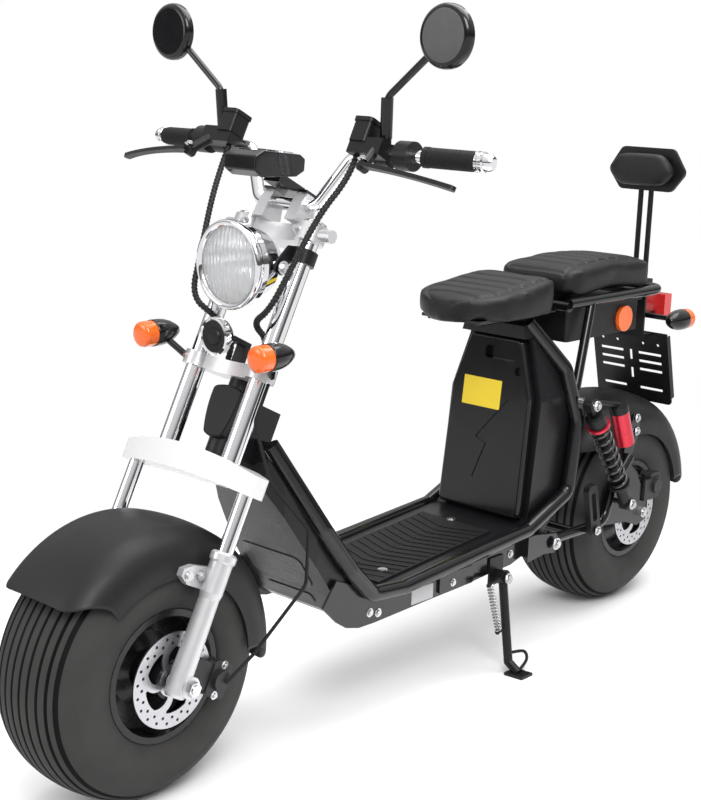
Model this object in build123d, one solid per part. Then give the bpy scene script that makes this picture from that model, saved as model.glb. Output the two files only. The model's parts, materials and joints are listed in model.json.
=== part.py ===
from build123d import *
import os
from math import asin, cos, degrees, radians, sin, sqrt

# An electric chopper scooter on two fat tyres, leaning on its side stand.
# It is modelled upright, +X forward and +Y to its left, with the ground under the rear axle
# at zero, and is then leaned over and set on the ground. Millimetres and degrees.

# The stance
WHEELBASE = 1380.0
LEAN = 3.0
RAKE = 26.3

# Tyres and rims
TYRE_R = 222.0
TYRE_CROWN_R = 230.0
TYRE_CROWN_HALF = 45.0
TYRE_SHOULDER_R = 70.0
RIM_EDGE_R = 111.0
RIM_SEAT_R = 106.0
RIM_HALF = 91.0
RIM_LIP = 5.0
RIM_WALL = 9.0
HUB_R = 34.0
HUB_HALF = 96.0
DISC_R = 80.0
DISC_T = 3.0
DISC_Y = 106.0
DISC_HOLE_R = 16.0
DISC_SPOKES = (27.0, 55.0)
DISC_SWEEP = 25.0
DISC_ROWS = ((63.0, 0.0), (72.0, 9.0))
DISC_DRILLING = 2.6
AXLE_R = 8.0
RUN_CLEAR = 0.05

# The steering and fork, measured square to the steering axis and along it from the axle
FORK_AHEAD = 10.0
STEER_BACK = 35.0
UPPER_TUBE_Y = 77.0
UPPER_TUBE_R = 17.0
LOWER_TUBE_Y = 134.0
LOWER_TUBE_R = 13.0
LEG_R = 20.0
LEG_TOP = 217.0
LEG_FOOT = -22.0
BRIDGE_LOW = 312.0
BRIDGE_TALL = 44.0
BRIDGE_HALF = 158.0
BRIDGE_DEEP = 40.0
BRIDGE_BOW = 22.0
BRIDGE_ARCH = 8.0
BRIDGE_EDGE = 34.0
TUBE_GRIP = 26.0
LOWER_CLAMP_LOW = 498.0
LOWER_CLAMP_TALL = 24.0
UPPER_CLAMP_LOW = 744.0
UPPER_CLAMP_TALL = 30.0
CLAMP_R = 25.0
STEM_R = 14.0
HEAD_TUBE_R = 24.0
HEAD_GAP = 0.3

# The handlebar and what it carries, in the fork's own directions
BAR_R = 11.0
GRIP_R = 17.0
RISER_Y = 38.0
BAR_CENTRE = (12.0, 0.0, 806.0)
BAR_FOOT = (12.0, 66.0, 806.0)
BAR_KNEE = (22.0, 120.0, 898.0)
BAR_GRIP_IN = (26.0, 262.0, 905.0)
BAR_END = (8.0, 378.0, 912.0)
MIRROR_FOOT = (40.0, 191.0, 926.0)
MIRROR_KNEE = (72.0, 194.0, 982.0)
MIRROR_HEAD = (118.0, 315.0, 1067.0)
MIRROR_R = 50.0
LEVER_PIVOT = (88.0, 203.0, 858.0)
LEVER_TIP = (68.0, 378.0, 842.0)

# Lamps and horn at the front
LAMP_R = 72.0
LAMP_FACE = (WHEELBASE - 213.0, 0.0, TYRE_R + 634.0)
LAMP_DEEP = 96.0
LAMP_BOLT = (-50.0, 62.0)
LAMP_WALL = 3.0
HORN_R = 32.0
HORN_FACE = (WHEELBASE - 178.0, 0.0, TYRE_R + 518.0)
SIGNAL_R = 22.0
CABLE_R = 5.5
HOSE_R = 3.0
SIGNAL_LONG = 74.0
FRONT_SIGNAL = (WHEELBASE - 156.0, 139.0, TYRE_R + 505.0)
REAR_SIGNAL = (-88.0, 132.0, 652.0)

# Fenders, about their own wheel centres
FENDER_T = 3.0
FRONT_FENDER_R = 250.0
REAR_FENDER_R = 258.0
FENDER_CROWN_R = 250.0
FENDER_CROWN_HALF = 60.0
FENDER_SHOULDER_R = 61.2
FENDER_SKIRT = 16.0
FENDER_OUT = FENDER_CROWN_HALF + FENDER_SHOULDER_R * (1 - FENDER_CROWN_HALF / FENDER_CROWN_R) + FENDER_T

# The body shell: deck, neck and riser
DECK_HALF = 122.0
BELLY_Z = 204.0
RAIL_R = 15.0
PLATE_T = 5.0
MAT_T = 4.0
DECK_BACK = (520.0, 276.0)
DECK_FRONT = (860.0, 250.0)
BATTERY_LEAN = 6.0
BATTERY_FOOT = (430.0, 288.0)
BATTERY_TALL = 366.0
BATTERY_TOP = (391.1, 658.0)
BATTERY_PROUD = 22.0
BATTERY_GAP = 0.5
BATTERY_HANDLE = (15.0, 331.0)
BATTERY_SOCKET = (64.0, 300.0)
BOLT_MARK = (((48.0, 238.0), (-21.0, 152.0)), ((-21.0, 152.0), (6.0, 144.0)), ((6.0, 144.0), (-20.0, 67.0)))

# Seats, rack and backrest
SEAT_GAP = 0.3
RACK_Z = 721.0
RACK_Y = 99.0
RACK_TUBE_R = 11.0
RACK_FRONT = 306.0
RACK_BACK = -60.0
REAR_SEAT_LONG = 338.0
REAR_SEAT_HALF = 104.0
REAR_SEAT_TALL = 62.0
FRONT_SEAT_NOSE = 611.0
FRONT_SEAT_BACK = 330.0
FRONT_SEAT_HALF = 118.0
FRONT_SEAT_Z = 708.0
PAN_Z = FRONT_SEAT_Z - SEAT_GAP
FRONT_SEAT_TALL = 72.0
PAD_HALF = 94.0
PAD_TALL = 84.0
PAD_T = 42.0
PAD_Z = 976.0
PAD_X = -110.0

# Swing arm and shocks
PIVOT = (362.0, 231.0)
EAR_Y = DECK_HALF + 10.0
ARM_Y = 120.0
ARM_R = 11.0
ARM_PLATE_T = 8.0
SHOCK_TOP = (295.0, DECK_HALF + 40.0, 519.0)
SHOCK_FOOT = (127.0, DECK_HALF + 40.0, 276.0)
SHOCK_R = 23.0
SHOCK_EYE_R = 15.0
SPRING_SPAN = (64.0, 231.0)
SPRING_COIL_R = 18.5
SPRING_WIRE_R = 3.5
SPRING_TURNS = 7.5
BOLT_R = 6.0
FENDER_BOLTS = [(26.0, 102.4, 441.0), (24.0, 107.5, 411.0)]

# The number plate bracket, hanging with a backward tilt from its top edge
PLATE_TOP = (-100.0, 0.0, 612.0)
PLATE_TILT = 15.6
PLATE_HALF = 99.0
PLATE_TALL = 178.0
SLOT_ROWS = (56.0, 77.0, 98.0)
PLATE_HOLES = (-73.0, -34.0, 34.0, 73.0)
PLATE_HOLE_DROP = 31.0
PLATE_HOLE_R = 3.5

# The side stand
STAND_PIVOT = (536.0, DECK_HALF + 15.0, 199.0)
STAND_SPLAY = 10.5
STAND_LEG = 172.0
STAND_R = 9.0
STAND_EYE = 9.5
STAND_AHEAD = 8.0
STAND_PAD = (546.0, DECK_HALF + 74.0)

# The folded foot pegs
FOOT_PEG = (213.0, 228.0)
FOOT_PEG_TILT = 13.7

sin_rake = sin(radians(RAKE))
cos_rake = cos(radians(RAKE))
FRONT_AXLE = (WHEELBASE, 0.0, TYRE_R)
REAR_AXLE = (0.0, 0.0, TYRE_R)
FORK_FRAME = Pos(*FRONT_AXLE) * Rot(0, -RAKE, 0)
PARK = Pos(0, 0, TYRE_CROWN_R * (1 - cos(radians(LEAN)))) * Rot(-LEAN, 0, 0)
GROUND = Rot(LEAN, 0, 0) * Pos(0, 0, -TYRE_CROWN_R * (1 - cos(radians(LEAN))))
STAND_PLACE = Pos(*STAND_PIVOT) * Rot(STAND_SPLAY, 0, 0)
lean_out = radians(BATTERY_LEAN)
BATTERY_FACE = Plane(origin=(BATTERY_FOOT[0], 0, BATTERY_FOOT[1]), x_dir=(0, 1, 0),
                     z_dir=(cos(lean_out), 0, sin(lean_out)))


def rod(start, end, radius):
    """A round bar from one point to another."""
    line = Vector(*end) - Vector(*start)
    place = Plane(origin=start, z_dir=line)
    return place * Cylinder(radius, line.length, align=(Align.CENTER, Align.CENTER, Align.MIN))


def cone_rod(start, end, start_radius, end_radius):
    """A tapered round bar from one point to another."""
    line = Vector(*end) - Vector(*start)
    place = Plane(origin=start, z_dir=line)
    base = (Align.CENTER, Align.CENTER, Align.MIN)
    return place * Cone(start_radius, end_radius, line.length, align=base)


def bent_tube(points, radius, bend):
    """A round tube along straight runs joined by arcs."""
    path = FilletPolyline(*points, radius=bend)
    start = Plane(origin=path @ 0, z_dir=path % 0)
    return sweep(start * Circle(radius), path=path)


def block(low, high):
    """A box between two corners."""
    size = [b - a for a, b in zip(low, high)]
    middle = [(a + b) / 2 for a, b in zip(low, high)]
    return Pos(*middle) * Box(*size)


def side_solid(points, y_low, y_high, corner=0.0):
    """A side-view outline of (x, z) points made as deep as the given span of y."""
    sketch = make_face(Polyline(*points, close=True))
    if corner:
        sketch = fillet(sketch.vertices(), corner)
    place = Plane(origin=(0, y_low, 0), x_dir=(1, 0, 0), z_dir=(0, -1, 0))
    return extrude(place * sketch, amount=-(y_high - y_low))


def pair(shape):
    """The shape and its mirror image on the other side of the scooter."""
    return shape + mirror(shape, about=Plane.XZ)


def arc_at(centre, radius, angle):
    """A point on a circle in a wheel's section, the angle counted from straight up."""
    return (centre[0] + radius * sin(radians(angle)), centre[1] + radius * cos(radians(angle)))


def polar(radius, angle):
    """A point on a circle about the origin of a sketch."""
    return (radius * cos(radians(angle)), radius * sin(radians(angle)))


# Wheels

def tyre():
    """A fat tyre: a crowned tread rounding into its side walls, down to the rim's seat."""
    crown = degrees(asin(TYRE_CROWN_HALF / TYRE_CROWN_R))
    crown_centre = (0.0, TYRE_R - TYRE_CROWN_R)
    edge = arc_at(crown_centre, TYRE_CROWN_R, crown)
    shoulder_centre = arc_at(edge, -TYRE_SHOULDER_R, crown)
    bead_r = RIM_EDGE_R + 1
    bead = 90 + degrees(asin((shoulder_centre[1] - bead_r) / TYRE_SHOULDER_R))
    wall_mid = arc_at(shoulder_centre, TYRE_SHOULDER_R, (crown + bead) / 2)
    wall_end = arc_at(shoulder_centre, TYRE_SHOULDER_R, bead)
    seat_y = RIM_HALF - RIM_LIP

    def flip(p):
        return (-p[0], p[1])

    outline = [
        ThreePointArc(flip(edge), (0, TYRE_R), edge),
        ThreePointArc(edge, wall_mid, wall_end),
        Polyline(wall_end, (seat_y, bead_r), (seat_y, RIM_SEAT_R),
                 (-seat_y, RIM_SEAT_R), (-seat_y, bead_r), flip(wall_end)),
        ThreePointArc(flip(wall_end), flip(wall_mid), flip(edge)),
    ]
    return revolve(Plane.YZ * make_face(outline), Axis.Y)


def rim(web):
    """A steel rim with rolled lips, turned from one outline; web is its half outline inside."""
    inner = RIM_SEAT_R - RIM_WALL
    seat_y = RIM_HALF - RIM_LIP
    outline = [
        (RIM_HALF, inner + 3), (RIM_HALF, RIM_EDGE_R), (seat_y, RIM_EDGE_R), (seat_y, RIM_SEAT_R),
        (-seat_y, RIM_SEAT_R), (-seat_y, RIM_EDGE_R), (-RIM_HALF, RIM_EDGE_R),
        (-RIM_HALF, inner + 3), (-seat_y, inner),
    ] + web + [(seat_y, inner)]
    turned = Plane.YZ * make_face(Polyline(*outline, close=True))
    return revolve(turned, Axis.Y)


def front_rim():
    inner = RIM_SEAT_R - RIM_WALL
    bore = AXLE_R + RUN_CLEAR
    web = [
        (44, inner), (30, 62), (38, HUB_R), (-HUB_HALF, HUB_R), (-HUB_HALF, bore),
        (DISC_Y, bore), (DISC_Y, HUB_R - 2), (44, HUB_R), (37, 62), (52, inner),
    ]
    return rim(web)


def rear_rim():
    """The rim with the closed drum of the hub motor inside it."""
    inner = RIM_SEAT_R - RIM_WALL
    bore = AXLE_R + RUN_CLEAR
    web = [
        (-70, inner), (-64, 84), (-76, 44), (-80, 30), (-HUB_HALF, 28), (-HUB_HALF, bore),
        (DISC_Y, bore), (DISC_Y, HUB_R - 2), (80, HUB_R), (76, 44), (64, 84), (70, inner),
    ]
    return rim(web)


def disc():
    """A brake disc: five swept spokes inside a band drilled in two staggered rows."""
    inner, outer = DISC_SPOKES
    sweep_end = 50 + DISC_SWEEP
    window = make_face([
        ThreePointArc(polar(inner, 0), polar(inner, 25), polar(inner, 50)),
        ThreePointArc(polar(inner, 50), polar((inner + outer) / 2, 58), polar(outer, sweep_end)),
        ThreePointArc(polar(outer, sweep_end), polar(outer, 50), polar(outer, DISC_SWEEP)),
        ThreePointArc(polar(outer, DISC_SWEEP), polar((inner + outer) / 2, 8), polar(inner, 0)),
    ])
    face = Circle(DISC_R) - Circle(DISC_HOLE_R)
    face -= PolarLocations(0, 5) * fillet(window.vertices(), 3)
    for row_r, first in DISC_ROWS:
        face -= PolarLocations(row_r, 20, start_angle=first) * Circle(DISC_DRILLING)
    place = Plane(origin=(0, DISC_Y + DISC_T, 0), x_dir=(1, 0, 0), z_dir=(0, -1, 0))
    return extrude(place * face, amount=DISC_T)


# Fenders

def fender(radius, start, end):
    """An arched fender about the origin, from one angle to another counted up from ahead."""
    crown = degrees(asin(FENDER_CROWN_HALF / FENDER_CROWN_R))

    def profile(grow):
        crown_centre = (0.0, radius - FENDER_CROWN_R)
        edge = arc_at(crown_centre, FENDER_CROWN_R + grow, crown)
        shoulder_centre = arc_at(arc_at(crown_centre, FENDER_CROWN_R, crown), -FENDER_SHOULDER_R, crown)
        side = (shoulder_centre[0] + FENDER_SHOULDER_R + grow, shoulder_centre[1])
        mid = arc_at(shoulder_centre, FENDER_SHOULDER_R + grow, (crown + 90) / 2)
        low = (side[0], side[1] - FENDER_SKIRT)
        return edge, mid, side, low

    def flip(p):
        return (-p[0], p[1])

    edge, mid, side, low = profile(0)
    edge2, mid2, side2, low2 = profile(FENDER_T)
    outline = [
        ThreePointArc(flip(edge), (0, radius), edge), ThreePointArc(edge, mid, side),
        Polyline(side, low, low2, side2), ThreePointArc(side2, mid2, edge2),
        ThreePointArc(edge2, (0, radius + FENDER_T), flip(edge2)),
        ThreePointArc(flip(edge2), flip(mid2), flip(side2)),
        Polyline(flip(side2), flip(low2), flip(low), flip(side)),
        ThreePointArc(flip(side), flip(mid), flip(edge)),
    ]
    arch = revolve(Plane.YZ * make_face(outline), Axis.Y, revolution_arc=end - start)
    return Rot(0, 90 - end, 0) * arch


# The fork, in the fork's own frame: X square to the steering axis, Z along it

def fork_tubes():
    """Four chromed tubes: two long ones up to the bar clamp, two sliding in the lower legs."""
    upper = rod((FORK_AHEAD, UPPER_TUBE_Y, BRIDGE_LOW + BRIDGE_TALL - TUBE_GRIP),
                (FORK_AHEAD, UPPER_TUBE_Y, UPPER_CLAMP_LOW + UPPER_CLAMP_TALL + 4), UPPER_TUBE_R)
    lower = rod((FORK_AHEAD, LOWER_TUBE_Y, LEG_TOP),
                (FORK_AHEAD, LOWER_TUBE_Y, BRIDGE_LOW + TUBE_GRIP), LOWER_TUBE_R)
    return pair(upper + lower)


def leg():
    """A cast lower leg: a waisted tube with its collar, bolted fender lug and axle boss."""
    x, y = FORK_AHEAD, LOWER_TUBE_Y
    outline = [
        (0, LEG_FOOT), (LEG_R - 5, LEG_FOOT), (LEG_R - 1, LEG_FOOT + 6), (LEG_R - 3, 140),
        (LEG_R - 1, 150), (LEG_R - 1, LEG_TOP - 18), (LEG_R + 2, LEG_TOP - 14),
        (LEG_R + 2, LEG_TOP - 4), (LEG_R - 2, LEG_TOP), (0, LEG_TOP),
    ]
    body = Pos(x, y, 0) * revolve(Plane.XZ * make_face(Polyline(*outline, close=True)), Axis.Z)
    body += rod((0, y - LEG_R, 0), (0, y + LEG_R, 0), LEG_R - 2)
    body += rod((-LEG_R - 4, y, -9), (-LEG_R - 4, y, 9), 7) + block((-LEG_R - 4, y - 7, -9), (0, y + 7, 9))
    lug = [(x, 150), (x + 44, 150), (x + 62, 160), (x + 62, 172), (x + 44, 182), (x, 188)]
    body += side_solid(lug, FENDER_OUT, y - 12)
    for ahead, up in ((x + 24, 170), (x + 48, 164)):
        body += rod((ahead, FENDER_OUT, up), (ahead, y - 6, up), 6)
    body -= rod((0, y - 2 * LEG_R, 0), (0, y + 2 * LEG_R, 0), AXLE_R)
    return body


def fork_legs():
    return pair(leg())


def fork_bridge():
    """The painted bridge, bowed forward and arched up between the pairs of tubes, with the stem."""
    x, half, top = FORK_AHEAD, BRIDGE_HALF, BRIDGE_LOW + BRIDGE_TALL
    front = x + BRIDGE_DEEP / 2
    back = -STEER_BACK - HEAD_TUBE_R
    plan = make_face([
        ThreePointArc((front, -half), (front + BRIDGE_BOW, 0), (front, half)),
        Polyline((front, half), (x - BRIDGE_DEEP / 2, half), (back, 34), (back, -34),
                 (x - BRIDGE_DEEP / 2, -half), (front, -half)),
    ])
    bridge = Pos(0, 0, BRIDGE_LOW - 1) * extrude(plan, amount=BRIDGE_TALL + BRIDGE_ARCH + 10)
    bridge = fillet(bridge.edges().filter_by(Axis.Z).sort_by(Axis.Y)[-2:], 16)
    bridge = fillet(bridge.edges().filter_by(Axis.Z).sort_by(Axis.Y)[:2], 16)
    edge = BRIDGE_LOW + BRIDGE_EDGE
    arch = make_face([
        ThreePointArc((-half - 1, BRIDGE_LOW), (0, BRIDGE_LOW + BRIDGE_ARCH), (half + 1, BRIDGE_LOW)),
        Line((half + 1, BRIDGE_LOW), (half + 1, edge)),
        ThreePointArc((half + 1, edge), (0, top + BRIDGE_ARCH), (-half - 1, edge)),
        Line((-half - 1, edge), (-half - 1, BRIDGE_LOW)),
    ])
    bridge &= extrude(Plane.YZ.offset(back - 1) * arch, amount=front + BRIDGE_BOW - back + 2)
    for side in (-1, 1):
        bridge -= rod((x, side * UPPER_TUBE_Y, top - TUBE_GRIP),
                      (x, side * UPPER_TUBE_Y, top + 40), UPPER_TUBE_R)
        bridge -= rod((x, side * LOWER_TUBE_Y, BRIDGE_LOW - 20),
                      (x, side * LOWER_TUBE_Y, BRIDGE_LOW + TUBE_GRIP), LOWER_TUBE_R)
    bridge -= rod((-STEER_BACK, 0, top), (-STEER_BACK, 0, top + 40), HEAD_TUBE_R + 6)
    return bridge + rod((-STEER_BACK, 0, top - 1), (-STEER_BACK, 0, LOWER_CLAMP_LOW), STEM_R)


def clamp(low, tall, reach):
    """A triple clamp: eyes round both upper tubes joined by a waisted, bowed plate."""
    x, y = FORK_AHEAD, UPPER_TUBE_Y
    ahead, behind = x + CLAMP_R - 3, x - CLAMP_R + 3
    plan = make_face([
        ThreePointArc((ahead, y), (x - 4, 0), (ahead, -y)), Line((ahead, -y), (behind, -y)),
        ThreePointArc((behind, -y), (-STEER_BACK - reach, 0), (behind, y)), Line((behind, y), (ahead, y)),
    ])
    plate = Pos(0, 0, low) * extrude(plan, amount=tall)
    for side in (-1, 1):
        plate += rod((x, side * y, low), (x, side * y, low + tall), CLAMP_R)
    for side in (-1, 1):
        plate -= rod((x, side * y, low - 1), (x, side * y, low + tall + 1), UPPER_TUBE_R)
    return plate


def lower_clamp():
    return clamp(LOWER_CLAMP_LOW, LOWER_CLAMP_TALL, 20)


def upper_clamp():
    """The forged top clamp with its two tapered bar risers and the stubs at its ends."""
    top = UPPER_CLAMP_LOW + UPPER_CLAMP_TALL
    x, z = BAR_CENTRE[0], BAR_CENTRE[2]
    body = clamp(UPPER_CLAMP_LOW, UPPER_CLAMP_TALL, 14)
    tower = [(x - 26, top - 1), (x + 22, top - 1), (x + 18, z), (x + 13, z + 18),
             (x - 13, z + 18), (x - 18, z)]
    body += pair(side_solid(tower, RISER_Y - 12, RISER_Y + 12))
    body += pair(rod((FORK_AHEAD, UPPER_TUBE_Y + CLAMP_R - 2, top - 15),
                     (FORK_AHEAD, UPPER_TUBE_Y + CLAMP_R + 22, top - 15), 11))
    return body - rod((x, -90, z), (x, 90, z), BAR_R)


def handlebar():
    half = [BAR_FOOT, BAR_KNEE, BAR_GRIP_IN, BAR_END]
    points = [(x, -y, z) for x, y, z in reversed(half)] + half
    return bent_tube(points, BAR_R, 26)


def grips():
    """Rubber grips with a collar and a turned end cap, each bored for the bar."""
    line = Vector(*BAR_END) - Vector(*BAR_GRIP_IN)
    way = line.normalized()
    start = Vector(*BAR_GRIP_IN) + way * 8
    end = Vector(*BAR_END)
    cap = end + way * 14
    grip = rod(start, end, GRIP_R)
    grip += rod(end, cap, GRIP_R - 3)
    grip -= rod(start, end, BAR_R)
    return pair(grip)


def lever():
    """A flat brake lever blade, bowed ahead of the grip and rounded at its tip."""
    span = Vector(*LEVER_TIP) - Vector(*LEVER_PIVOT)
    far = span.length
    rearward = Vector(0, 0, 1).cross(span)
    face = Plane(origin=LEVER_PIVOT, x_dir=span, z_dir=span.cross(rearward))
    outline = make_face([
        Line((0, 9), (0, -9)), ThreePointArc((0, -9), (far / 2, -15), (far, -7)),
        ThreePointArc((far, -7), (far + 7, 0), (far, 7)), ThreePointArc((far, 7), (far / 2, -3), (0, 9)),
    ])
    return extrude(face * outline, amount=3.5, both=True)


def hand_controls():
    """Brake master cylinders with their boxy reservoirs, the levers and the switch rings."""
    x, y, z = BAR_KNEE[0] + 3, 190.0, 902.0
    stem = (Vector(*MIRROR_KNEE) - Vector(*MIRROR_FOOT)).normalized()
    body = rod((x, y - 14, z), (x, y + 14, z), 19)
    tank = block((x + 4, y - 52, z + 6), (x + 44, y - 16, z + 40))
    body += fillet(tank.edges().filter_by(Axis.Z), 7)
    lid = block((x + 2, y - 54, z + 40), (x + 46, y - 14, z + 47))
    body += fillet(lid.edges().filter_by(Axis.Z), 8)
    body += block((x + 6, y - 50, z - 14), (x + 40, y + 18, z + 14))
    body += rod(Vector(*MIRROR_FOOT) - stem * 26, MIRROR_FOOT, 9)
    body += rod((LEVER_PIVOT[0] - 8, LEVER_PIVOT[1], LEVER_PIVOT[2] + 4), (x + 30, y, z - 4), 9)
    body += rod((LEVER_PIVOT[0] - 14, LEVER_PIVOT[1], LEVER_PIVOT[2]), LEVER_PIVOT, 9)
    body += lever()
    body += rod((x + 2, 222, z + 2), (x + 2, 250, z + 2), 24)
    return pair(body - rod(BAR_KNEE, BAR_GRIP_IN, BAR_R))


def mirrors():
    """Round mirror heads on bent stems with a rubber boot at the foot."""
    stem = bent_tube([MIRROR_FOOT, MIRROR_KNEE, MIRROR_HEAD], 6, 26)
    stem += rod(MIRROR_FOOT, MIRROR_KNEE, 10)
    way = Vector(-cos_rake, 0, sin_rake)
    head = Plane(origin=Vector(*MIRROR_HEAD) - way * 14, z_dir=way)
    base = (Align.CENTER, Align.CENTER, Align.MIN)
    shell = head * Cylinder(MIRROR_R, 16, align=base)
    shell = fillet(shell.edges().sort_by(lambda e: (e.center() - Vector(*MIRROR_HEAD)).dot(way))[0], 10)
    return pair(stem + shell)


def speedometer():
    """The wedge of the instrument pod over the bar, on a plate across the risers."""
    outline = [(-58, -8), (-58, 12), (-46, 19), (40, 22), (58, 12), (58, -12), (40, -22), (-40, -18)]
    side = make_face(Polyline(*outline, close=True))
    pod = extrude(Plane.XZ * side, amount=37, both=True)
    pod = fillet(pod.edges().filter_by(Axis.Y), 4)
    pod = fillet(pod.edges().group_by(Axis.Y)[0] + pod.edges().group_by(Axis.Y)[-1], 3)
    low = BAR_CENTRE[2] + 18
    foot = block((-5, -RISER_Y - 12, low), (29, RISER_Y + 12, low + 5))
    foot += block((2, -18, low), (66, 18, low + 16))
    return Pos(92, 0, 844) * Rot(0, RAKE - 4, 0) * pod + foot


def axle_nut(side, reach):
    """A hexagon nut outside the fork or swing arm on one side."""
    face = Plane(origin=(0, side * reach, 0), z_dir=(0, side, 0))
    return face * extrude(RegularPolygon(13, 6), amount=10)


def front_axle():
    reach = LOWER_TUBE_Y + LEG_R
    bar = rod((0, -reach - 12, 0), (0, reach + 12, 0), AXLE_R)
    for side in (-1, 1):
        bar += axle_nut(side, reach)
    for side in (-1, 1):
        inner = (LOWER_TUBE_Y - LEG_R) * side
        hub = (DISC_Y if side > 0 else -HUB_HALF) + side * (DISC_T if side > 0 else 0)
        bar += rod((0, hub + side * 0.3, 0), (0, inner, 0), AXLE_R + 4)
    return bar


def caliper(x, z):
    """A brake caliper about a wheel's centre, reaching over the edge of the disc."""
    body = block((x - 22, DISC_Y - 6.5, z - 30), (x + 22, DISC_Y + 21, z + 30))
    body = fillet(body.edges().filter_by(Axis.Y), 8)
    body -= rod((0, DISC_Y - 1.5, 0), (0, DISC_Y + DISC_T + 1.5, 0), DISC_R + 3)
    return body + rod((x, DISC_Y + 20, z), (x, DISC_Y + 30, z), 17)


def front_caliper():
    """The front caliper behind the left leg, on its bracket."""
    bracket = block((-70, DISC_Y + 12, -4), (-AXLE_R - 3, DISC_Y + 18, 44))
    return caliper(-85, 20) + (bracket - leg())


# What the steering carries in the scooter's own directions

def headlight_shell():
    """A chromed bucket headlamp: rolled rim, hollow bowl behind it and its side bosses."""
    outer = [(0, LAMP_R - 8), (3, LAMP_R - 5), (0, LAMP_R - 1), (-10, LAMP_R), (-22, LAMP_R - 1),
             (-26, LAMP_R - 5), (-60, LAMP_R - 16), (-84, 40), (-LAMP_DEEP, 26), (-LAMP_DEEP, 0)]
    inner = [(-LAMP_DEEP + LAMP_WALL, 0), (-LAMP_DEEP + LAMP_WALL, 23), (-82, 36), (-60, LAMP_R - 20),
             (-26, LAMP_R - 10), (-8, LAMP_R - 10), (-8, LAMP_R - 8)]
    wall = revolve(Plane.XZ * make_face(Polyline(*outer, *inner, close=True)), Axis.X)
    core = revolve(Plane.XZ * make_face(Polyline(*inner, (0, LAMP_R - 8), (0, 0), close=True)), Axis.X)
    bosses = rod((LAMP_BOLT[0], -LAMP_BOLT[1], 0), (LAMP_BOLT[0], LAMP_BOLT[1], 0), 10)
    return Pos(*LAMP_FACE) * (wall + (bosses - core))


def dome(tip, rise, edge):
    """A shallow arc from the axis at its tip out to the given radius, square to the axis."""
    radius = (edge ** 2 + rise ** 2) / (2 * rise)
    middle = tip - radius + sqrt(radius ** 2 - edge ** 2 / 4)
    return ThreePointArc((tip, 0), (middle, edge / 2), (tip - rise, edge))


def headlight_lens():
    """The domed lens seated in the lamp's rim."""
    edge = LAMP_R - 8
    front, back = dome(9, 9, edge), dome(5, 10, edge - 3)
    seat = Polyline((0, edge), (-5, edge), (-5, edge - 3))
    glass = make_face([front, seat, back, Line((5, 0), (9, 0))])
    return Pos(*LAMP_FACE) * revolve(Plane.XZ * glass, Axis.X)


def headlight_brackets():
    """Rings clamped on the upper tubes with bent flat ears out to the lamp's side bolts."""
    bolt = FORK_FRAME.inverse() * Pos(LAMP_FACE[0] + LAMP_BOLT[0], 0, LAMP_FACE[2])
    x, z = bolt.position.X, bolt.position.Z
    near = FORK_AHEAD + 14
    ring = Pos(FORK_AHEAD, UPPER_TUBE_Y, z + 32) * Cylinder(UPPER_TUBE_R + 5, 24)
    flat = [(near, z + 22), (near, z + 46), (x - 2, z + 40), (x + 12, z + 8),
            (x + 12, z - 10), (x - 10, z - 12), (x - 13, z + 8)]
    ear = side_solid(flat, LAMP_BOLT[1] + 4, LAMP_BOLT[1] + 9, 4)
    bracket = ring + ear + rod((x, LAMP_BOLT[1], z), (x, LAMP_BOLT[1] + 14, z), 8)
    bracket -= rod((FORK_AHEAD, UPPER_TUBE_Y, 0), (FORK_AHEAD, UPPER_TUBE_Y, 900), UPPER_TUBE_R)
    return pair(bracket)


def horn():
    """The round horn, stepped in rings round its centre, on its strap from the lower clamp."""
    outline = [(-34, 0), (-34, 16), (-22, 27), (-12, HORN_R), (-2, HORN_R), (0, HORN_R - 3),
               (-2, HORN_R - 5), (-3, 15), (0, 13), (1, 0)]
    body = Pos(*HORN_FACE) * revolve(Plane.XZ * make_face(Polyline(*outline, close=True)), Axis.X)
    top = LOWER_CLAMP_LOW + LOWER_CLAMP_TALL
    strap = block((-10, -12, top), (0, 12, top + 38)) + block((-10, -12, top + 30), (44, 12, top + 38))
    return body + FORK_FRAME * strap


def signal(x, y, z, ahead):
    """A bullet turn signal pointing ahead (1) or back (-1), with its stalk to the middle."""
    body = cone_rod((x - ahead * SIGNAL_LONG * 0.55, y, z), (x, y, z), 9, SIGNAL_R)
    body += rod((x, y, z), (x + ahead * SIGNAL_LONG * 0.45, y, z), SIGNAL_R)
    return body


def front_signals():
    """Bullet signals on stalks from the sides of the lower clamp."""
    x, y, z = FRONT_SIGNAL
    eye = FORK_FRAME * Pos(FORK_AHEAD, UPPER_TUBE_Y + CLAMP_R - 2, LOWER_CLAMP_LOW + 12)
    stalk = rod(eye.position, (x - 28, y, z), 6) - FORK_FRAME * lower_clamp()
    return pair(signal(x - 24, y, z, 1) + stalk)


def front_fender():
    return Pos(*FRONT_AXLE) * fender(FRONT_FENDER_R, 36, 190)


def front_brake_hose():
    """The front brake hose, down the left tube, looping back and down to the caliper."""
    points = [(10, 99, 497), (10, 99, 430), (-30, 140, 345), (-108, 182, 296),
              (-150, 180, 211), (-118, 150, 78), (-89, 139.4, 19)]
    return bent_tube(points, HOSE_R, 30)


def control_cables():
    """The wrapped bundles of cables down from the hand controls to the lower clamp."""
    end = LOWER_CLAMP_LOW + LOWER_CLAMP_TALL
    points = [(48, 150, 888), (48, 150, 850), (62, 128, 777), (60, 108, 679), (60, 94, 606),
              (40, 46, 585), (-20, 40, 572), (-20, 40, end)]
    return pair(bent_tube(points, CABLE_R, 14))


# The body, fixed to the root

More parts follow.
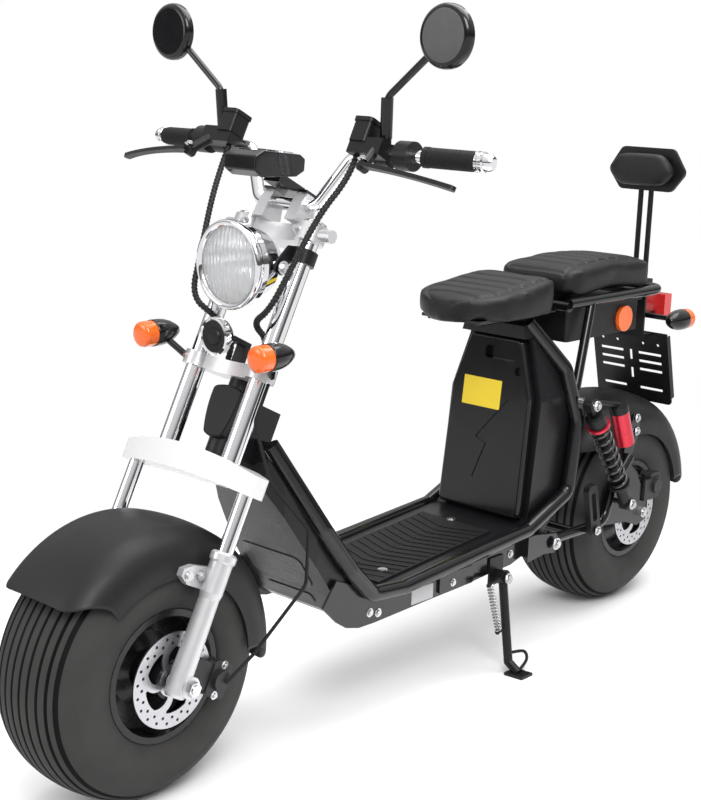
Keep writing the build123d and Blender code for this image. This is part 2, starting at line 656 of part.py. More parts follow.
def plan_slab(inset):
    """The body seen from above, narrowing towards the neck, as a tall prism."""
    half = DECK_HALF - inset
    points = [(250, half), (985, half), (1046, half - 10), (1107, half - 32), (1150, half - 62)]
    outline = points + [(x, -y) for x, y in reversed(points)]
    return Pos(0, 0, 100) * extrude(make_face(Polyline(*outline, close=True)), amount=700)


def rail(radius):
    """The left edge rail as a round bar of the given radius, from the neck to the seat."""
    y = DECK_HALF + RAIL_R / 2
    run = [
        (1128, 66, 556), (1046, y - 12, 404), (985, y, 318), (925, y, 258), (840, y, 250),
        (450, y, 276), (312, y, 330), (292, y, 480), (318, y - 20, 590), (400, 66, 690),
    ]
    return bent_tube(run, radius, 30)


def battery_block(grow):
    """The heavy core of the battery pack, sunk into the riser."""
    plan = Pos(0, 142) * Rectangle(176 + 2 * grow, 256 + 2 * grow)
    return extrude(BATTERY_FACE * plan, amount=-70 - grow)


def neck_block():
    """The boxed neck between the body and the steering head, in the fork's frame."""
    return block((-STEER_BACK - 80, -30, 371), (-STEER_BACK - 10, 30, 471))


def body_shell():
    """The tub: neck, deck and riser as one shell between the side plates."""
    tub = [
        (1138, 478), (1060, 350), (1003, 262), (975, 222), (948, BELLY_Z), (560, BELLY_Z + 4),
        (460, 222), (376, 246), (330, 290), (300, 340), (292, 400), (294, 490), (308, 548),
        (332, 600), (366, 648), (372, 684), (425, 684), (425, 658), BATTERY_TOP, BATTERY_FOOT,
        (440, 282), DECK_BACK, DECK_FRONT, (905, 254), (935, 270), (975, 314), (1046, 412), (1128, 560),
    ]
    body = side_solid(tub, -DECK_HALF, DECK_HALF) & plan_slab(RAIL_R / 2)
    slope = make_face(Polyline((62, 720), (118, 520), (220, 520), (220, 720), close=True))
    flank = Plane.YZ.offset(200) * slope
    body -= pair(extrude(flank, amount=400))
    body -= battery_block(BATTERY_GAP)
    body -= FORK_FRAME * neck_block()
    return body - pair(rail(RAIL_R + SEAT_GAP))


def side_plates():
    """The flat steel side members under the rails, with the swing arm's ears and bolts."""
    plate = side_solid([(1010, 300), (1043, 256), (1006, 221), (981, 205), (947, 196), (906, 195),
                        (751, 199), (643, 201), (560, 206), (486, 208), (463, 214), (440, 220),
                        (440, 262), (618, 252), (795, 242), (893, 242), (935, 252), (960, 280)],
                       DECK_HALF - RAIL_R / 2, DECK_HALF - RAIL_R / 2 + PLATE_T)
    ear = side_solid([(452, 262), (452, 208), (395, 214), (356, 209), (342, 228), (352, 250), (430, 262)],
                     EAR_Y, EAR_Y + PLATE_T)
    spacer = block((430, DECK_HALF - RAIL_R / 2 + PLATE_T - 1, 218), (452, EAR_Y + 1, 258))
    bolt = rod((PIVOT[0], ARM_Y - ARM_R, PIVOT[1]), (PIVOT[0], EAR_Y + PLATE_T + 8, PIVOT[1]), BOLT_R)
    return pair(plate + ear + spacer + bolt - rail(RAIL_R))


def edge_rails():
    """The rounded edge rails that run from the neck along the deck and up the riser."""
    return pair(rail(RAIL_R))


def deck_mat():
    (back, low), (front, high) = DECK_BACK, DECK_FRONT
    return side_solid([(front, high), (back, low), (back, low + MAT_T), (front, high + MAT_T)], -88, 88)


def strip(start, end, half):
    """A straight stroke between two points of a sketch, as wide as twice its half width."""
    across = (Vector(*end) - Vector(*start)).normalized().rotate(Axis.Z, 90) * half
    corners = [Vector(*start) + across, Vector(*end) + across, Vector(*end) - across, Vector(*start) - across]
    return make_face(Polyline(*corners, close=True))


def battery_pack():
    """The tall battery case on the riser, with its handle, socket and bolt mark, and its heavy core."""
    half = [(104, 0), (100, 250), (64, BATTERY_TALL)]
    front = make_face(Polyline(*half, *[(-y, up) for y, up in reversed(half)], close=True))
    case = extrude(BATTERY_FACE * fillet(front.vertices(), 12), amount=BATTERY_PROUD)
    case = fillet(case.faces().sort_by(Axis.X)[-1].edges(), 7)
    skin = BATTERY_FACE.offset(BATTERY_PROUD)
    case -= extrude(skin * Pos(*BATTERY_HANDLE) * RectangleRounded(76, 26, 8), amount=-14)
    case -= extrude(skin * Pos(*BATTERY_SOCKET) * Circle(9), amount=-8)
    for start, end in BOLT_MARK:
        case -= extrude(skin * strip(start, end, 2.5), amount=-2)
    return case + battery_block(0)


def head_tube():
    """The steering head and its shield-shaped front cover, joined to the body by a boxed neck."""
    low = BRIDGE_LOW + BRIDGE_TALL + HEAD_GAP
    high = LOWER_CLAMP_LOW - HEAD_GAP
    tube = rod((-STEER_BACK, 0, low), (-STEER_BACK, 0, high), HEAD_TUBE_R)
    shield = make_face([
        ThreePointArc((-33, 40), (0, 46), (33, 40)), ThreePointArc((33, 40), (32, 0), (22, -40)),
        ThreePointArc((22, -40), (0, -46), (-22, -40)), ThreePointArc((-22, -40), (-32, 0), (-33, 40)),
    ])
    cover = extrude(Plane.YZ * fillet(shield.vertices(), 9), amount=13)
    cover = fillet(cover.faces().sort_by(Axis.X)[-1].edges(), 4)
    whole = tube + Pos(-STEER_BACK + HEAD_TUBE_R - 4, 0, (low + high) / 2 + 10) * cover + neck_block()
    return whole - rod((-STEER_BACK, 0, low - 5), (-STEER_BACK, 0, high + 5), STEM_R + RUN_CLEAR)


def rear_rack():
    """The tube loop under the rear seat, its struts, and the front seat's pan and post."""
    loop = [(RACK_FRONT, -RACK_Y, RACK_Z), (RACK_BACK, -RACK_Y, RACK_Z),
            (RACK_BACK, RACK_Y, RACK_Z), (RACK_FRONT, RACK_Y, RACK_Z)]
    rack = bent_tube(loop, RACK_TUBE_R, 30)
    rack += rod((RACK_FRONT - 6, -RACK_Y, RACK_Z - 7), (RACK_FRONT - 6, RACK_Y, RACK_Z - 7), RACK_TUBE_R)
    strut = rod((220, RACK_Y, RACK_Z), (288, 118, 545), 10)
    strut += rod((RACK_FRONT - 6, 60, PAN_Z - 6), (560, 60, PAN_Z - 6), 6)
    pan = block((345, -72, PAN_Z - 6), (570, 72, PAN_Z))
    post = rod((398, 0, 684), (398, 0, PAN_Z - 3), 12)
    return rack + pair(strut) + pan + post - pair(rail(RAIL_R))


def storage_box():
    """The storage box hung by its flange from the rack's side tubes."""
    top = RACK_Z - RACK_TUBE_R - SEAT_GAP
    box = fillet(block((8, -84, 636), (284, 84, top)).edges().filter_by(Axis.Z), 8)
    return box + block((20, -RACK_Y, top - 5), (200, RACK_Y, top))


def front_seat():
    """The rider's saddle: wide at the back, blunt at the nose and rising to the rear."""
    back, half, low = FRONT_SEAT_BACK + 6, FRONT_SEAT_HALF, FRONT_SEAT_Z
    wide = FRONT_SEAT_NOSE - 84
    plan = make_face([
        Line((back, -half + 16), (back, half - 16)),
        ThreePointArc((back, half - 16), ((back + wide) / 2, half - 2), (wide, half - 4)),
        ThreePointArc((wide, half - 4), (FRONT_SEAT_NOSE, 0), (wide, -half + 4)),
        ThreePointArc((wide, -half + 4), ((back + wide) / 2, -half + 2), (back, -half + 16)),
    ])
    plan = fillet(plan.vertices().group_by(Axis.X)[0], 36)
    prism = Pos(0, 0, low) * extrude(plan, amount=FRONT_SEAT_TALL + 10)
    far = FRONT_SEAT_NOSE + 5
    side = make_face([
        Polyline((back - 5, low + FRONT_SEAT_TALL + 4), (back - 5, low), (far, low), (far, low + 40)),
        ThreePointArc((far, low + 40), ((back + far) / 2, low + 54), (back - 5, low + FRONT_SEAT_TALL + 4)),
    ])
    place = Plane(origin=(0, half + 5, 0), x_dir=(1, 0, 0), z_dir=(0, -1, 0))
    return prism & extrude(place * side, amount=2 * half + 10)


def rear_seat():
    """The pillion seat, a long rounded cushion on the rack, crowned along its length."""
    start, half = RACK_BACK + 24, REAR_SEAT_HALF
    low = RACK_Z + RACK_TUBE_R + SEAT_GAP
    end, top = start + REAR_SEAT_LONG, low + REAR_SEAT_TALL
    seat = block((start, -half, low), (end, half, top + 5))
    seat = fillet(seat.edges().filter_by(Axis.Z), 38)
    side = make_face([
        Polyline((start - 5, top - 10), (start - 5, low), (end + 5, low), (end + 5, top - 12)),
        ThreePointArc((end + 5, top - 12), ((start + end) / 2, top + 3), (start - 5, top - 10)),
    ])
    place = Plane(origin=(0, half + 5, 0), x_dir=(1, 0, 0), z_dir=(0, -1, 0))
    return seat & extrude(place * side, amount=2 * half + 10)


def backrest_plan(grow):
    """The backrest from the front: a hexagon with rounded corners."""
    half, tall = PAD_HALF + grow, PAD_TALL / 2 + grow
    points = [(-half, -4), (-half + 34, tall), (half - 34, tall), (half, -4),
              (half - 34, -tall), (-half + 34, -tall)]
    return fillet(make_face(Polyline(*points, close=True)).vertices(), 16)


def backrest_frame():
    """Two posts from the rack's rear tube up to the backrest's shell."""
    body = Pos(PAD_X - 26, 0, PAD_Z) * extrude(Plane.YZ * backrest_plan(6), amount=12)
    body = fillet(body.faces().sort_by(Axis.X)[0].edges(), 4)
    post = rod((PAD_X - 20, 13, RACK_Z - 6), (PAD_X - 20, 13, PAD_Z), 6)
    foot = block((PAD_X - 28, -30, RACK_Z - 8), (RACK_BACK - 6, 30, RACK_Z + 8)) - rack_tail()
    return body + pair(post) + foot


def rack_tail():
    """The straight rear run of the rack's tube."""
    return rod((RACK_BACK, -60, RACK_Z), (RACK_BACK, 60, RACK_Z), RACK_TUBE_R)


def backrest_pad():
    return Pos(PAD_X - 14 + SEAT_GAP, 0, PAD_Z) * extrude(Plane.YZ * backrest_plan(0), amount=PAD_T)


def rear_fender():
    return Pos(*REAR_AXLE) * fender(REAR_FENDER_R, 40, 178)


def plate_bracket():
    """The slotted number plate holder, tilted on a shelf hung behind the rack."""
    plate = block((-3, -PLATE_HALF, -PLATE_TALL), (0, PLATE_HALF, 0))
    rows = [(50, drop) for drop in SLOT_ROWS] + [(48, 145)]
    for y, drop in rows:
        plate -= pair(block((-4, y - 30, -drop - 3.5), (1, y + 30, -drop + 3.5)))
    for drop in (64, 110):
        plate -= block((-4, -3.5, -drop - 13), (1, 3.5, -drop + 13))
    for y in PLATE_HOLES:
        plate -= rod((-4, y, -PLATE_HOLE_DROP), (1, y, -PLATE_HOLE_DROP), PLATE_HOLE_R)
    plate = fillet(plate.edges().filter_by(Axis.X).group_by(Axis.Z)[0], 10)
    plate += block((-14, PLATE_HALF - 3, -PLATE_TALL + 16), (-1, PLATE_HALF, -8))
    x, y, z = PLATE_TOP
    bracket = Pos(x, y, z) * Rot(0, PLATE_TILT, 0) * plate
    bracket += block((x - 3, -60, z - 7), (RACK_BACK - 6, 60, z - 1))
    bracket += block((RACK_BACK - 6, -60, z - 7), (RACK_BACK, 60, RACK_Z - 4))
    bracket += block((REAR_SIGNAL[0] - 2, -16, z - 7), (REAR_SIGNAL[0] + 10, 16, REAR_SIGNAL[2]))
    return bracket - rack_tail() - signal_bar()


def signal_bar():
    """The bar between the rear signals."""
    x, y, z = REAR_SIGNAL
    return rod((x, -y, z), (x, y, z), 6)


def rear_lights():
    """Tail lamp, rear turn signals on their bar and the round side reflectors."""
    x, y, z = REAR_SIGNAL
    lights = signal_bar() + pair(signal(x, y, z, -1))
    lights += block((-216, -38, 636), (-186, 38, 688)) + block((-188, -14, 640), (x - 2, 14, 648))
    return lights + pair(rod((70, 84.3, 666), (70, 92, 666), 28))


def swing_arm():
    """Bent tube arms from the pivot round the wheel, with axle plates and fender stays."""
    run = [(PIVOT[0] - 14, ARM_Y, PIVOT[1]), (150, ARM_Y, 226), (118, ARM_Y, 300), (56, ARM_Y, 360)]
    arm = bent_tube(run, ARM_R, 40)
    arm += side_solid([(160, 222), (150, 250), (110, 300), (60, 345), (30, 320), (-22, 250),
                       (-26, 200), (10, 192), (60, 210)], ARM_Y - ARM_PLATE_T / 2, ARM_Y + ARM_PLATE_T / 2)
    arm += rod((PIVOT[0], ARM_Y - ARM_R, PIVOT[1]), (PIVOT[0], EAR_Y - 0.5, PIVOT[1]), 15)
    x, y, z = SHOCK_FOOT
    arm += rod((x, ARM_Y, z), (x, y + 16, z), BOLT_R)
    arm += rod((268, 0, PIVOT[1]), (268, ARM_Y, PIVOT[1]), ARM_R)
    arm += side_solid([(70, 372), (66, 346), (40, 350), (12, 404), (12, 446), (38, 452)],
                      FENDER_OUT, FENDER_OUT + 4)
    for x, y, z in FENDER_BOLTS:
        arm += rod((x, y, z), (x, FENDER_OUT + 6, z), BOLT_R)
    arm -= rod((0, 90, TYRE_R), (0, 160, TYRE_R), AXLE_R)
    arm -= rod((PIVOT[0], 90, PIVOT[1]), (PIVOT[0], 160, PIVOT[1]), BOLT_R + RUN_CLEAR)
    return pair(arm - rear_fender())


def shock():
    """The left shock: eyes, cap, damper body and the two spring seats, turned as one stack."""
    top = Vector(*SHOCK_TOP)
    foot = Vector(*SHOCK_FOOT)
    line = foot - top
    first, last = SPRING_SPAN
    end = line.length - 8
    outline = [(0, 8), (9, 8), (9, 26), (17, 26), (21, 31), (21, first - 6), (SHOCK_R + 1, first - 6),
               (SHOCK_R + 1, first), (12, first), (12, last), (SHOCK_R + 1, last), (SHOCK_R + 1, last + 6),
               (15, last + 12), (13, last + 20), (13, end), (0, end)]
    turned = revolve(Plane.XZ * make_face(Polyline(*outline, close=True)), Axis.Z)
    unit = Plane(origin=top, z_dir=line) * turned
    for x, y, z in (SHOCK_TOP, SHOCK_FOOT):
        unit += rod((x, y - 10, z), (x, y + 10, z), SHOCK_EYE_R)
        unit -= rod((x, y - 40, z), (x, y + 40, z), BOLT_R + RUN_CLEAR)
    return unit


def shock_springs():
    """The open coil springs round the shocks' bodies, seated between their perches."""
    top = Vector(*SHOCK_TOP)
    first, last = SPRING_SPAN
    play = SPRING_WIRE_R + 0.1
    height = last - first - 2 * play
    path = Helix(pitch=height / SPRING_TURNS, height=height, radius=SPRING_COIL_R)
    wire = sweep(Plane(origin=path @ 0, z_dir=path % 0) * Circle(SPRING_WIRE_R), path=path, is_frenet=True)
    seat = Plane(origin=top, z_dir=Vector(*SHOCK_FOOT) - top) * Pos(0, 0, first + play)
    return pair(seat * wire)


def foot_pegs():
    """The pillion's flat foot pegs, folded up beside the swing arm on their bolts."""
    (x, z), outer = FOOT_PEG, ARM_Y + ARM_R
    face = RectangleRounded(34, 118, 12) - Pos(0, 8) * RectangleRounded(15, 66, 6)
    peg = extrude(Plane.XZ * Pos(0, 48) * face, amount=-14)
    peg = Pos(x, outer, z) * Rot(0, FOOT_PEG_TILT, 0) * peg + rod((x, ARM_Y, z), (x, outer + 18, z), BOLT_R)
    return pair(peg - rod((PIVOT[0] - 14, ARM_Y, PIVOT[1]), (150, ARM_Y, 226), ARM_R))


def shock_absorbers():
    return pair(shock())


def shock_reservoirs():
    """The red gas bottles behind the shocks, on arms from their upper eyes."""
    x, y, z = SHOCK_TOP
    bottle = rod((x - 105, y, z - 14), (x - 145, y, z - 104), 20)
    arm = rod((x - 110, y, z - 16), (x - 10, y, z + 4), 6)
    return pair(bottle + arm - rod((x, y - 20, z), (x, y + 20, z), SHOCK_EYE_R))


def shock_mount():
    """A turned boss on the rail with the bolt through the left shock's upper eye."""
    x, y, z = SHOCK_TOP
    boss = rod((x, y - 34, z), (x, y - 10.3, z), 12) + rod((x, y - 34, z), (x, y + 16, z), BOLT_R)
    boss += rod((x, y + 10.3, z), (x, y + 16, z), 11)
    return boss - rail(RAIL_R)


def shock_mounts():
    return pair(shock_mount())


def rear_axle():
    reach = ARM_Y + ARM_PLATE_T / 2
    bar = rod((0, -reach - 14, 0), (0, reach + 14, 0), AXLE_R)
    for side in (-1, 1):
        bar += axle_nut(side, reach)
    for side in (-1, 1):
        inner = (ARM_Y - ARM_PLATE_T / 2) * side
        hub = DISC_Y + DISC_T if side > 0 else -HUB_HALF
        bar += rod((0, hub + side * 0.3, 0), (0, inner, 0), AXLE_R + 4)
    return Pos(*REAR_AXLE) * bar


def rear_caliper():
    """The rear caliper behind the axle, on a bracket across the left arm's plate."""
    bracket = block((-66, ARM_Y + ARM_PLATE_T / 2, 24), (-4, ARM_Y + ARM_PLATE_T / 2 + 6, 72))
    return Pos(*REAR_AXLE) * (caliper(-52, 52) + bracket)


def side_stand():
    """The stand's leg: an eye, a splayed leg and a flat foot on the ground."""
    leg_end = (STAND_AHEAD, 0, -STAND_LEG)
    body = rod((0, -STAND_EYE, 0), (0, STAND_EYE, 0), 14)
    body += rod((0, 0, 0), leg_end, STAND_R)
    body -= rod((0, -20, 0), (0, 20, 0), BOLT_R + RUN_CLEAR)
    knee = (STAND_PLACE * Pos(*leg_end)).position
    x, y = STAND_PAD
    sole = GROUND * Pos(x, y, 3) * Box(36, 44, 6)
    ankle = (GROUND * Pos(x, y, 5)).position
    return STAND_PLACE * body + Pos(*knee) * Sphere(STAND_R) + rod(knee, ankle, STAND_R) - (
        GROUND * Pos(x, y, -10) * Box(100, 100, 20)) + sole


def stand_bracket():
    """The bracket under the left side plate and the pin that the stand turns on."""
    x, y, z = STAND_PIVOT
    face = DECK_HALF - RAIL_R / 2 + PLATE_T
    plate = block((x - 18, face, z - 16), (x + 26, face + 4, z + 40))
    gap = STAND_EYE + 0.3
    boss = rod((0, -gap - 7, 0), (0, -gap, 0), 14) + rod((0, -gap - 7, 0), (0, gap + 5, 0), BOLT_R)
    boss += rod((0, gap, 0), (0, gap + 5, 0), 10)
    inside = block((x - 40, face - 20, z - 60), (x + 40, face, z + 60))
    return plate + (STAND_PLACE * boss - inside)


# Every named piece, and the frame that it is drawn in
STRAIGHT = Pos(0, 0, 0)
NODES = {
    "front_tyre": (tyre, Pos(*FRONT_AXLE)),
    "front_rim": (front_rim, Pos(*FRONT_AXLE)),
    "front_disc": (disc, Pos(*FRONT_AXLE)),
    "rear_tyre": (tyre, Pos(*REAR_AXLE)),
    "rear_rim": (rear_rim, Pos(*REAR_AXLE)),
    "rear_disc": (disc, Pos(*REAR_AXLE)),
    "fork_tubes": (fork_tubes, FORK_FRAME),
    "fork_legs": (fork_legs, FORK_FRAME),
    "fork_bridge": (fork_bridge, FORK_FRAME),
    "lower_clamp": (lower_clamp, FORK_FRAME),
    "upper_clamp": (upper_clamp, FORK_FRAME),
    "handlebar": (handlebar, FORK_FRAME),
    "grips": (grips, FORK_FRAME),
    "hand_controls": (hand_controls, FORK_FRAME),
    "mirrors": (mirrors, FORK_FRAME),
    "speedometer": (speedometer, FORK_FRAME),
    "front_axle": (front_axle, FORK_FRAME),
    "front_caliper": (front_caliper, FORK_FRAME),
    "headlight_shell": (headlight_shell, STRAIGHT),
    "headlight_lens": (headlight_lens, STRAIGHT),
    "headlight_brackets": (headlight_brackets, FORK_FRAME),
    "horn": (horn, STRAIGHT),
    "front_signals": (front_signals, STRAIGHT),
    "front_fender": (front_fender, STRAIGHT),
    "front_brake_hose": (front_brake_hose, FORK_FRAME),
    "control_cables": (control_cables, FORK_FRAME),
    "body_shell": (body_shell, STRAIGHT),
    "side_plates": (side_plates, STRAIGHT),
    "edge_rails": (edge_rails, STRAIGHT),
    "deck_mat": (deck_mat, STRAIGHT),
    "battery_pack": (battery_pack, STRAIGHT),
    "head_tube": (head_tube, FORK_FRAME),
    "rear_rack": (rear_rack, STRAIGHT),
    "storage_box": (storage_box, STRAIGHT),
    "front_seat": (front_seat, STRAIGHT),
    "rear_seat": (rear_seat, STRAIGHT),
    "backrest_frame": (backrest_frame, STRAIGHT),
    "backrest_pad": (backrest_pad, STRAIGHT),
    "rear_fender": (rear_fender, STRAIGHT),
    "plate_bracket": (plate_bracket, STRAIGHT),
    "rear_lights": (rear_lights, STRAIGHT),
    "swing_arm": (swing_arm, STRAIGHT),
    "shock_absorbers": (shock_absorbers, STRAIGHT),
    "shock_springs": (shock_springs, STRAIGHT),
    "shock_reservoirs": (shock_reservoirs, STRAIGHT),
    "shock_mounts": (shock_mounts, STRAIGHT),
    "foot_pegs": (foot_pegs, STRAIGHT),
    "rear_axle": (rear_axle, STRAIGHT),
    "rear_caliper": (rear_caliper, STRAIGHT),
    "stand_bracket": (stand_bracket, STRAIGHT),
    "side_stand": (side_stand, STRAIGHT),
}


def build():
    """All pieces leaned over on the stand, with the origin under the middle of the whole."""
    leaned = {name: PARK * (place * make()) for name, (make, place) in NODES.items()}
    boxes = [piece.bounding_box() for piece in leaned.values()]
    low = [min(getattr(box.min, side) for box in boxes) for side in "XYZ"]
    high = [max(getattr(box.max, side) for box in boxes) for side in "XYZ"]
    home = Pos(-(low[0] + high[0]) / 2, -(low[1] + high[1]) / 2, -low[2])
    return {name: home * piece for name, piece in leaned.items()}, home * PARK


def main():
    os.makedirs("parts", exist_ok=True)
    pieces, _ = build()
    for name, piece in pieces.items():
        export_step(piece, f"parts/{name}.step")


if __name__ == "__main__":
    main()
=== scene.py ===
import bpy
import bmesh
import json
import math
from math import cos, pi, radians, sin
from mathutils import Matrix, Vector


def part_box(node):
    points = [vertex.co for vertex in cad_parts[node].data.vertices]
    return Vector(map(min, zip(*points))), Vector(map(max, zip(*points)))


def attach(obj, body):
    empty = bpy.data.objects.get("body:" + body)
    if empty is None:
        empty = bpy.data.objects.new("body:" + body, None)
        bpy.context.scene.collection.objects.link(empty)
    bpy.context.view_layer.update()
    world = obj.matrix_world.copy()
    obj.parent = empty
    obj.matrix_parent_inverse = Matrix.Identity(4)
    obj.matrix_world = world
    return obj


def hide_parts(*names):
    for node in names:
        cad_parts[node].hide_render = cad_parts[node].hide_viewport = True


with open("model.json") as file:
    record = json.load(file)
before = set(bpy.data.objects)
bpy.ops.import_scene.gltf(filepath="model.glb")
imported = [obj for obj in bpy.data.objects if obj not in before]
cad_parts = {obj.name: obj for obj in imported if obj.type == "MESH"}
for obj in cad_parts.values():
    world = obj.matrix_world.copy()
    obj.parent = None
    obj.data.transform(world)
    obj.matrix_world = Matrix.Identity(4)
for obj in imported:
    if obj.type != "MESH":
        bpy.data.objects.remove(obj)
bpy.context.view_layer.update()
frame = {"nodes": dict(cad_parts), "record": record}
nodes = frame["nodes"]
joints = {j["name"]: j for j in frame["record"]["behaviour"]["joints"]}

# The scooter's own frames, placed in the shared one: UPRIGHT stands on the ground under the rear
# axle, with +X forward and +Y left, and FORK on the front axle, with +Z up along the raked fork
LEAN = radians(3.0)
RAKE = radians(26.3)
TYRE_R = 0.222
REAR_HUB = Vector(joints["rear_wheel_turn"]["pos_m"])
FRONT_HUB = Vector(joints["front_wheel_turn"]["pos_m"])
FRONT_WHEEL = Matrix.Translation(FRONT_HUB) @ Matrix.Rotation(-LEAN, 4, "X")
REAR_WHEEL = Matrix.Translation(REAR_HUB) @ Matrix.Rotation(-LEAN, 4, "X")
UPRIGHT = REAR_WHEEL @ Matrix.Translation((0, 0, -TYRE_R))
FORK = FRONT_WHEEL @ Matrix.Rotation(-RAKE, 4, "Y")
MM = Matrix.Scale(0.001, 4)


# Camera, fitted to the photograph in the upright frame

CAMERA_SPOT = (2.8429, 1.77, 1.1836)
CAMERA_TURN = (-138.3107, -12.7261, 1.9424)
FOCAL_PIXELS = 1483.7
PHOTO_WIDE = 701.0
SENSOR_WIDE = 36.0


def make_camera():
    """The photograph's camera, from its place in metres and its yaw, pitch and roll in degrees."""
    yaw, pitch, roll = (radians(angle) for angle in CAMERA_TURN)
    ahead = Vector((cos(pitch) * cos(yaw), cos(pitch) * sin(yaw), sin(pitch)))
    level = ahead.cross(Vector((0, 0, 1))).normalized()
    rise = level.cross(ahead)
    right = level * cos(roll) + rise * sin(roll)
    up = rise * cos(roll) - level * sin(roll)
    turn = Matrix((right, up, -ahead)).transposed().to_4x4()
    data = bpy.data.cameras.new("camera")
    data.sensor_fit = "HORIZONTAL"
    data.sensor_width = SENSOR_WIDE
    data.lens = FOCAL_PIXELS * SENSOR_WIDE / PHOTO_WIDE
    data.clip_end = 50.0
    camera = bpy.data.objects.new("camera", data)
    camera.matrix_world = UPRIGHT @ Matrix.Translation(CAMERA_SPOT) @ turn
    bpy.context.scene.collection.objects.link(camera)
    bpy.context.scene.camera = camera


# Materials: every one has its own colour drift, roughness drift and surface relief

def material(name, colour, rough=0.4, metallic=0.0, grain=400.0, relief=0.15, drift=0.12, wear=0.0,
             coat=0.0, spread=0.12, transmission=0.0, specular=0.5, fine="NOISE"):
    """A procedural material; drift and spread vary its colour and roughness, relief its grain."""
    m = bpy.data.materials.new(name)
    m.use_nodes = True
    tree = m.node_tree
    shader = tree.nodes["Principled BSDF"]
    link = tree.links.new

    def add(kind, **values):
        node = tree.nodes.new(kind)
        for key, value in values.items():
            node.inputs[key].default_value = value
        return node

    place = add("ShaderNodeTexCoord")
    broad = add("ShaderNodeTexNoise", Scale=9.0, Detail=6.0, Roughness=0.6)
    link(place.outputs["Object"], broad.inputs["Vector"])
    tones = add("ShaderNodeMix")
    tones.data_type = "RGBA"
    dark = [c * (1 - drift) for c in colour[:3]] + [1]
    light = [min(1, c * (1 + drift) + 0.004) for c in colour[:3]] + [1]
    tones.inputs[6].default_value = dark
    tones.inputs[7].default_value = light
    link(broad.outputs["Fac"], tones.inputs[0])
    last = tones.outputs[2]
    if wear:
        edge = add("ShaderNodeNewGeometry")
        ramp = add("ShaderNodeMapRange",
                   **{"From Min": 0.53, "From Max": 0.62, "To Min": 0.0, "To Max": wear})
        link(edge.outputs["Pointiness"], ramp.inputs["Value"])
        worn = add("ShaderNodeMix")
        worn.data_type = "RGBA"
        worn.inputs[7].default_value = [min(1, c * 1.6 + 0.08) for c in colour[:3]] + [1]
        link(ramp.outputs["Result"], worn.inputs[0])
        link(last, worn.inputs[6])
        last = worn.outputs[2]
    link(last, shader.inputs["Base Color"])
    smooth_end, rough_end = max(0.02, rough - spread / 2), min(1, rough + spread / 2)
    rough_map = add("ShaderNodeMapRange",
                    **{"From Min": 0.25, "From Max": 0.75, "To Min": smooth_end,
                       "To Max": rough_end})
    smudge = add("ShaderNodeTexNoise", Scale=28.0, Detail=5.0, Roughness=0.65)
    link(place.outputs["Object"], smudge.inputs["Vector"])
    link(smudge.outputs["Fac"], rough_map.inputs["Value"])
    link(rough_map.outputs["Result"], shader.inputs["Roughness"])
    if fine == "NOISE":
        skin = add("ShaderNodeTexNoise", Scale=grain, Detail=4.0, Roughness=0.6)
        height = skin.outputs["Fac"]
    elif fine == "WAVE":
        skin = add("ShaderNodeTexWave", Scale=grain, Distortion=0.4)
        skin.bands_direction = "Y" if transmission else "Z"
        height = skin.outputs["Fac"]
    else:
        skin = add("ShaderNodeTexVoronoi", Scale=grain)
        height = skin.outputs["Distance"]
    link(place.outputs["Object"], skin.inputs["Vector"])
    bump = add("ShaderNodeBump", Strength=relief, Distance=0.0006)
    link(height, bump.inputs["Height"])
    link(bump.outputs["Normal"], shader.inputs["Normal"])
    shader.inputs["Metallic"].default_value = metallic
    shader.inputs["Coat Weight"].default_value = coat
    shader.inputs["Coat Roughness"].default_value = 0.08
    shader.inputs["Specular IOR Level"].default_value = specular
    shader.inputs["Transmission Weight"].default_value = transmission
    return m


